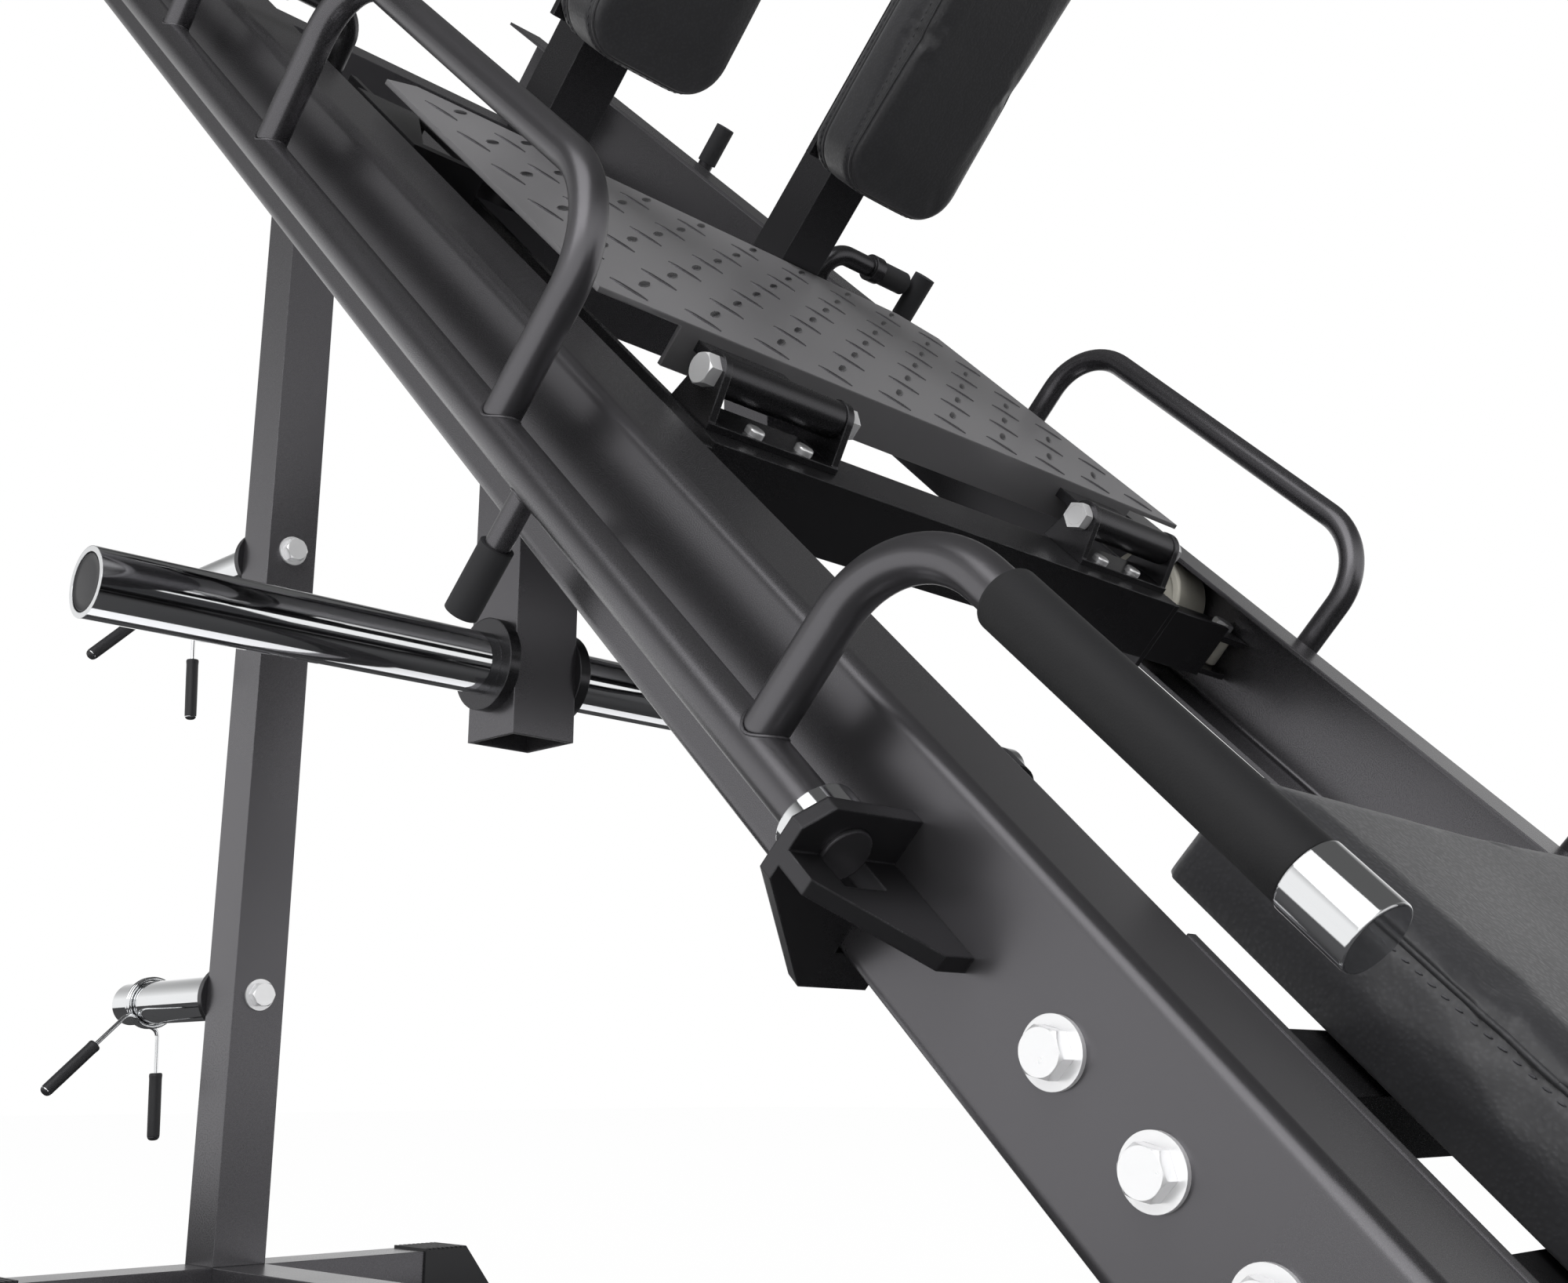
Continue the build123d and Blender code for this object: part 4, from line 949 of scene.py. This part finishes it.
class LEGPRESS_OT_collar_grips(bpy.types.Operator):
    """Make the dipped grips on the tails of the spring collars"""

    bl_idname = "legpress.collar_grips"
    bl_label = "Collar grips"

    def execute(self, context):
        profile = [
            (2.9, -0.9), (5.6, -0.9), (6.9, -0.5), (7.5, 0.6), (7.6, 2.4), (7.4, 4.2),
            (7.25, 6.5), (7.3, 24.0), (7.3, 48.0), (7.2, 70.4), (7.0, 72.2), (6.4, 73.9),
            (5.4, 75.3), (4.0, 76.2), (2.2, 76.6), (0.6, 76.7),
        ]
        pattern = turned("grip_pattern", in_metres(profile), 40)
        closed(pattern)
        smooth(pattern, 50)
        for level, z in HORN_LEVELS:
            grips = []
            for angle, way in ((COIL_START, -1), (COIL_END, 1)):
                place, out = collar_tail(angle, way, z)
                turn = out.to_track_quat("Z", "Y").to_matrix().to_4x4()
                grips.append(copy_at(pattern, Matrix.Translation(place) @ turn))
            item = join(grips, f"{level}_collar_grips")
            dress(item, f"{level}_collar", "black_rubber", finish="black_plastic")
        bpy.data.objects.remove(pattern)
        return {"FINISHED"}


# Tread

def tread_bar(sizes):
    """One raised bar with rounded shoulders and tapered ends, sunk a little at its foot."""
    bpy.ops.mesh.primitive_cube_add(size=1)
    item = new_piece("tread_pattern")
    item.scale = (sizes.length, sizes.width, sizes.height * 2)
    freeze(item)
    with editing(item):
        bpy.ops.mesh.subdivide(number_cuts=3)
    places = points_of(item)
    along = np.abs(places[:, 0]) / (sizes.length / 2)
    across = np.abs(places[:, 1]) / (sizes.width / 2)
    places[:, 1] *= np.sqrt(np.clip(1 - 0.85 * along ** 2.6, 0.05, 1))
    top = places[:, 2] > 0
    fall = 1 - 0.45 * along ** 3 - 0.4 * across ** 2 * (1 - 0.3 * along)
    places[:, 2] = np.where(top, np.clip(fall, 0.25, 1) * places[:, 2], places[:, 2])
    set_points(item, places)
    return smooth(item, 60)


def tread_field(name, sizes, half_x, low, high, first, place):
    """Bars in two crossing directions, each lattice between the other's bars."""
    pattern = tread_bar(sizes)
    made = []
    count_x = int((2 * half_x) // sizes.pitch)
    start_x = -count_x * sizes.pitch / 2
    rows = int((high - first) // sizes.pitch)
    for shift, angle in ((0.0, -45), (0.5, 45)):
        for column in range(count_x + 1):
            for row in range(rows + 1):
                x = start_x + (column + shift) * sizes.pitch
                y = first + (row + shift) * sizes.pitch
                if abs(x) > half_x or not low <= y <= high:
                    continue
                turn = Matrix.Rotation(radians(angle), 4, "Z")
                made.append(copy_at(pattern, place @ Matrix.Translation((x, y, 0)) @ turn))
    bpy.data.objects.remove(pattern)
    return join(made, name)


class LEGPRESS_OT_tread(bpy.types.Operator):
    """Raise the tread bars on the footplate and on the standing plate"""

    bl_idname = "legpress.tread"
    bl_label = "Tread"

    def execute(self, context):
        sizes = context.scene.legpress_tread
        place = RAIL_TURN @ Matrix.Translation((0, 0, FOOTPLATE_TOP))
        item = tread_field("footplate_tread", sizes, *FOOTPLATE_FIELD, place)
        # The bars keep the plain graphite coat, so they read darker than the plate's painted light
        dress(item, "tilting_footplate", "graphite_paint")
        rise = STAND_HIGH - STAND_LOW
        slope = Matrix.Rotation(-atan2(rise, STAND_LENGTH), 4, "X")
        middle = Vector((0, STAND_REAR - STAND_LENGTH / 2 + FLOOR_SHIFT, (STAND_HIGH + STAND_LOW) / 2))
        reach = hypot(STAND_LENGTH, rise) / 2
        low, high, first = STAND_MARGIN - reach, reach - STAND_MARGIN, STAND_FIRST - reach
        place = Matrix.Translation(middle) @ slope
        item = tread_field("standing_tread", sizes, STAND_HALF, low, high, first, place)
        dress(item, "frame", "graphite_paint")
        return {"FINISHED"}


# Welds and plugs

def saddle_weld(name, s, radius, way):
    """Rippled weld bead where a tube stands on the lockout tube; way -1 is below it."""
    seat_radius, bead = LOCKOUT_RADIUS * MM, WELD_BEAD * MM
    ring = radius + bead * 0.4
    bpy.ops.mesh.primitive_torus_add(
        major_segments=72, minor_segments=10, major_radius=ring, minor_radius=bead)
    item = freeze(new_piece(name))
    places = points_of(item)
    angle = np.arctan2(places[:, 1], places[:, 0])
    ripple = 1 + WELD_RIPPLE * np.sin(angle * WELD_RIPPLES)
    centre = np.stack([np.cos(angle), np.sin(angle)], axis=1) * ring
    places[:, :2] = centre + (places[:, :2] - centre) * ripple[:, None]
    places[:, 2] *= ripple
    across = np.clip(np.abs(centre[:, 0]), 0, seat_radius * 0.995)
    places[:, 2] = (places[:, 2] + np.sqrt(seat_radius ** 2 - across ** 2)) * way
    places[:, 0] += LOCKOUT_X * MM
    places[:, 1] += s
    places[:, 2] += LOCKOUT_M * MM
    set_points(item, places)
    return item


class LEGPRESS_OT_welds(bpy.types.Operator):
    """Lay the weld beads round the feet of the handles"""

    bl_idname = "legpress.welds"
    bl_label = "Welds"

    def execute(self, context):
        beads = []
        for s, radius, way in HANDLE_FEET:
            bead = saddle_weld("handle_weld", s * MM, radius * MM, way)
            beads.append(outward(bead))
        item = join(beads, "right_handle_welds")
        to_rails(item)
        smooth(item, 60)
        twin = mirrored(item, "left_handle_welds")
        smooth(twin, 60)
        for side, bead in (("right", item), ("left", twin)):
            dress(bead, f"{side}_lockout", "graphite_paint")
        return {"FINISHED"}


def round_plug(name, radius, depth):
    """Domed plug with a raised rim that closes a round tube, outer face at z = 0."""
    profile = [
        (radius, -depth), (radius, -1.2 * MM), (radius - 0.7 * MM, -0.5 * MM),
        (radius - 1.4 * MM, -0.3 * MM), (radius - 2.2 * MM, -0.9 * MM), (radius * 0.7, -0.5 * MM),
        (radius * 0.35, -0.2 * MM), (radius * 0.08, -0.1 * MM),
    ]
    return smooth(closed(turned(name, profile, 48)), 50)


class LEGPRESS_OT_plugs(bpy.types.Operator):
    """Close the open ends of the bar, the horns and the lockout tubes"""

    bl_idname = "legpress.plugs"
    bl_label = "End plugs"

    def execute(self, context):
        pattern = round_plug("plug_pattern", *BAR_PLUG)
        ends = []
        for side in (-1, 1):
            turn = Matrix.Rotation(radians(90 * side), 4, "Y")
            place = Matrix.Translation((side * BAR_END, BAR_Y + FLOOR_SHIFT, BAR_Z))
            ends.append(copy_at(pattern, place @ turn))
        item = join(ends, "bar_end_plugs")
        dress(item, "carriage", "black_plastic")
        ends = []
        for _, z in HORN_LEVELS:
            turn = Matrix.Rotation(radians(-90), 4, "X")
            ends.append(copy_at(pattern, Matrix.Translation((0, HORN_END + FLOOR_SHIFT, z)) @ turn))
        item = join(ends, "horn_end_plugs")
        dress(item, "frame", "black_plastic")
        bpy.data.objects.remove(pattern)
        for side, way in (("left", -1), ("right", 1)):
            item = round_plug(f"{side}_tube_plug", *TUBE_PLUG)
            item.rotation_euler = (radians(-90), 0, 0)
            item.location = (way * LOCKOUT_X * MM, TUBE_END, LOCKOUT_M * MM)
            to_rails(item)
            dress(item, f"{side}_lockout", "black_plastic")
        return {"FINISHED"}


# Studio

def softbox(name, place, aim, size, power):
    bpy.ops.object.light_add(type="AREA", location=place)
    lamp = bpy.context.object
    lamp.name = name
    lamp.data.shape = "RECTANGLE"
    lamp.data.size, lamp.data.size_y = size
    lamp.data.energy = power
    lamp.rotation_mode = "QUATERNION"
    lamp.rotation_quaternion = (Vector(aim) - Vector(place)).to_track_quat("-Z", "Y")
    return lamp


def seen_mask(tree):
    """1 for rays that show the background: camera, glossy and transmission rays."""
    path = new_node(tree, "LightPath")
    seen = math_node(tree, "MAXIMUM", path.outputs["Is Camera Ray"], path.outputs["Is Glossy Ray"])
    return math_node(tree, "MAXIMUM", seen, path.outputs["Is Transmission Ray"])


def white_floor(colour):
    """Pale floor that almost glows where it is seen, so that it runs into the background."""
    material, tree, shader, mottle = new_finish("Pale floor", colour, 1.5, 0.01)
    feed(tree, shader, {
        "Base Color": mottle.outputs["Colour"], "Roughness": 0.8, "Specular IOR Level": 0.1})
    glow = new_node(tree, "Emission", {"Color": (1, 1, 1, 1)})
    share = math_node(tree, "MULTIPLY", seen_mask(tree), FLOOR_GLOW)
    mix = new_node(tree, "MixShader", {0: share, 1: shader.outputs[0], 2: glow.outputs[0]})
    feed(tree, tree.nodes["Material Output"], {"Surface": mix.outputs[0]})
    return material


def studio_card(name, place, size, grey, glow):
    """Card on the floor that only reflections show: a painted reflection, dark or glowing, that sets how
    bright undersides look.
    """
    bpy.ops.mesh.primitive_plane_add(size=1, location=place)
    card = new_piece(name)
    card.scale = (*size, 1)
    freeze(card)
    material, tree, shader, mottle = new_finish(name, (grey, grey, grey * 1.03), 2.0, 0.05)
    feed(tree, shader, {
        "Base Color": mottle.outputs["Colour"], "Roughness": 1.0, "Specular IOR Level": 0.0,
        "Emission Color": (1, 1, 1, 1), "Emission Strength": glow})
    card.data.materials.append(material)
    card.visible_camera = False
    card.visible_diffuse = False
    card.visible_transmission = False
    card.visible_shadow = False


def pale_world(level):
    """White background; reflections see it darken towards the ceiling."""
    world = bpy.data.worlds.new("Studio")
    bpy.context.scene.world = world
    world.use_nodes = True
    tree = world.node_tree
    white = (1, 1, 1, 1)
    way = new_node(tree, "SeparateXYZ", {0: new_node(tree, "TexCoord").outputs["Generated"]})
    ceiling = mix_colours(tree, ramp(tree, way.outputs["Z"], 0.2, 0.6), white, (0.11, 0.11, 0.11, 1))
    path = new_node(tree, "LightPath")
    shown = mix_colours(tree, path.outputs["Is Glossy Ray"], white, ceiling)
    sky = mix_colours(tree, seen_mask(tree), (level, level, level, 1), shown)
    feed(tree, tree.nodes["Background"], {"Color": sky, "Strength": 1.0})


class LEGPRESS_OT_stage(bpy.types.Operator):
    """Set the floor, the light, the background and the camera"""

    bl_idname = "legpress.stage"
    bl_label = "Studio"

    def execute(self, context):
        look = context.scene.legpress_studio
        scene = context.scene
        scene.view_settings.view_transform = "Standard"
        bpy.ops.mesh.primitive_plane_add(size=FLOOR_SIZE, location=(0, 0, 0))
        floor = new_piece("floor")
        floor.data.materials.append(white_floor(tuple(look.floor)))
        pale_world(look.sky)
        for card in CARDS:
            studio_card(*card)
        softbox("key_light", *KEY_LIGHT, look.key)
        softbox("top_light", *TOP_LIGHT, look.fill).visible_glossy = False
        camera_data = bpy.data.cameras.new("camera")
        camera_data.sensor_width = 36
        camera_data.lens = CAMERA_LENS
        camera = bpy.data.objects.new("camera", camera_data)
        scene.collection.objects.link(camera)
        camera.location = CAMERA_PLACE
        camera.rotation_euler = [radians(angle) for angle in CAMERA_DEGREES]
        camera_data.clip_start = 0.02
        camera_data.clip_end = 100
        scene.camera = camera
        return {"FINISHED"}


class LEGPRESS_PT_panel(bpy.types.Panel):
    """Lists the steps in the order they are run"""

    bl_idname = "LEGPRESS_PT_panel"
    bl_label = "Leg press"
    bl_space_type = "VIEW_3D"
    bl_region_type = "UI"
    bl_category = "Leg press"

    def draw(self, context):
        for step in STEPS:
            self.layout.operator(step.bl_idname)
        for group in ("legpress_finish", "legpress_pads", "legpress_tread", "legpress_studio"):
            held = getattr(context.scene, group)
            for name in held.__annotations__:
                self.layout.prop(held, name)


GROUP_TYPES = {
    "legpress_finish": FrameFinish, "legpress_pads": PadSizes, "legpress_tread": TreadSizes,
    "legpress_studio": StudioLook,
}
STEPS = (
    LEGPRESS_OT_finishes, LEGPRESS_OT_stage, LEGPRESS_OT_seat, LEGPRESS_OT_backrest,
    LEGPRESS_OT_shoulder_pads, LEGPRESS_OT_foam_grips, LEGPRESS_OT_collar_grips, LEGPRESS_OT_tread,
    LEGPRESS_OT_welds, LEGPRESS_OT_plugs,
)


def register():
    for name, kind in GROUP_TYPES.items():
        bpy.utils.register_class(kind)
        setattr(bpy.types.Scene, name, bpy.props.PointerProperty(type=kind))
    for kind in (*STEPS, LEGPRESS_PT_panel):
        bpy.utils.register_class(kind)


def unregister():
    for kind in (LEGPRESS_PT_panel, *reversed(STEPS)):
        bpy.utils.unregister_class(kind)
    for name, kind in GROUP_TYPES.items():
        delattr(bpy.types.Scene, name)
        bpy.utils.unregister_class(kind)


def main():
    register()
    for step in STEPS:
        area, action = step.bl_idname.split(".")
        getattr(getattr(bpy.ops, area), action)()


if __name__ == "__main__":
    main()
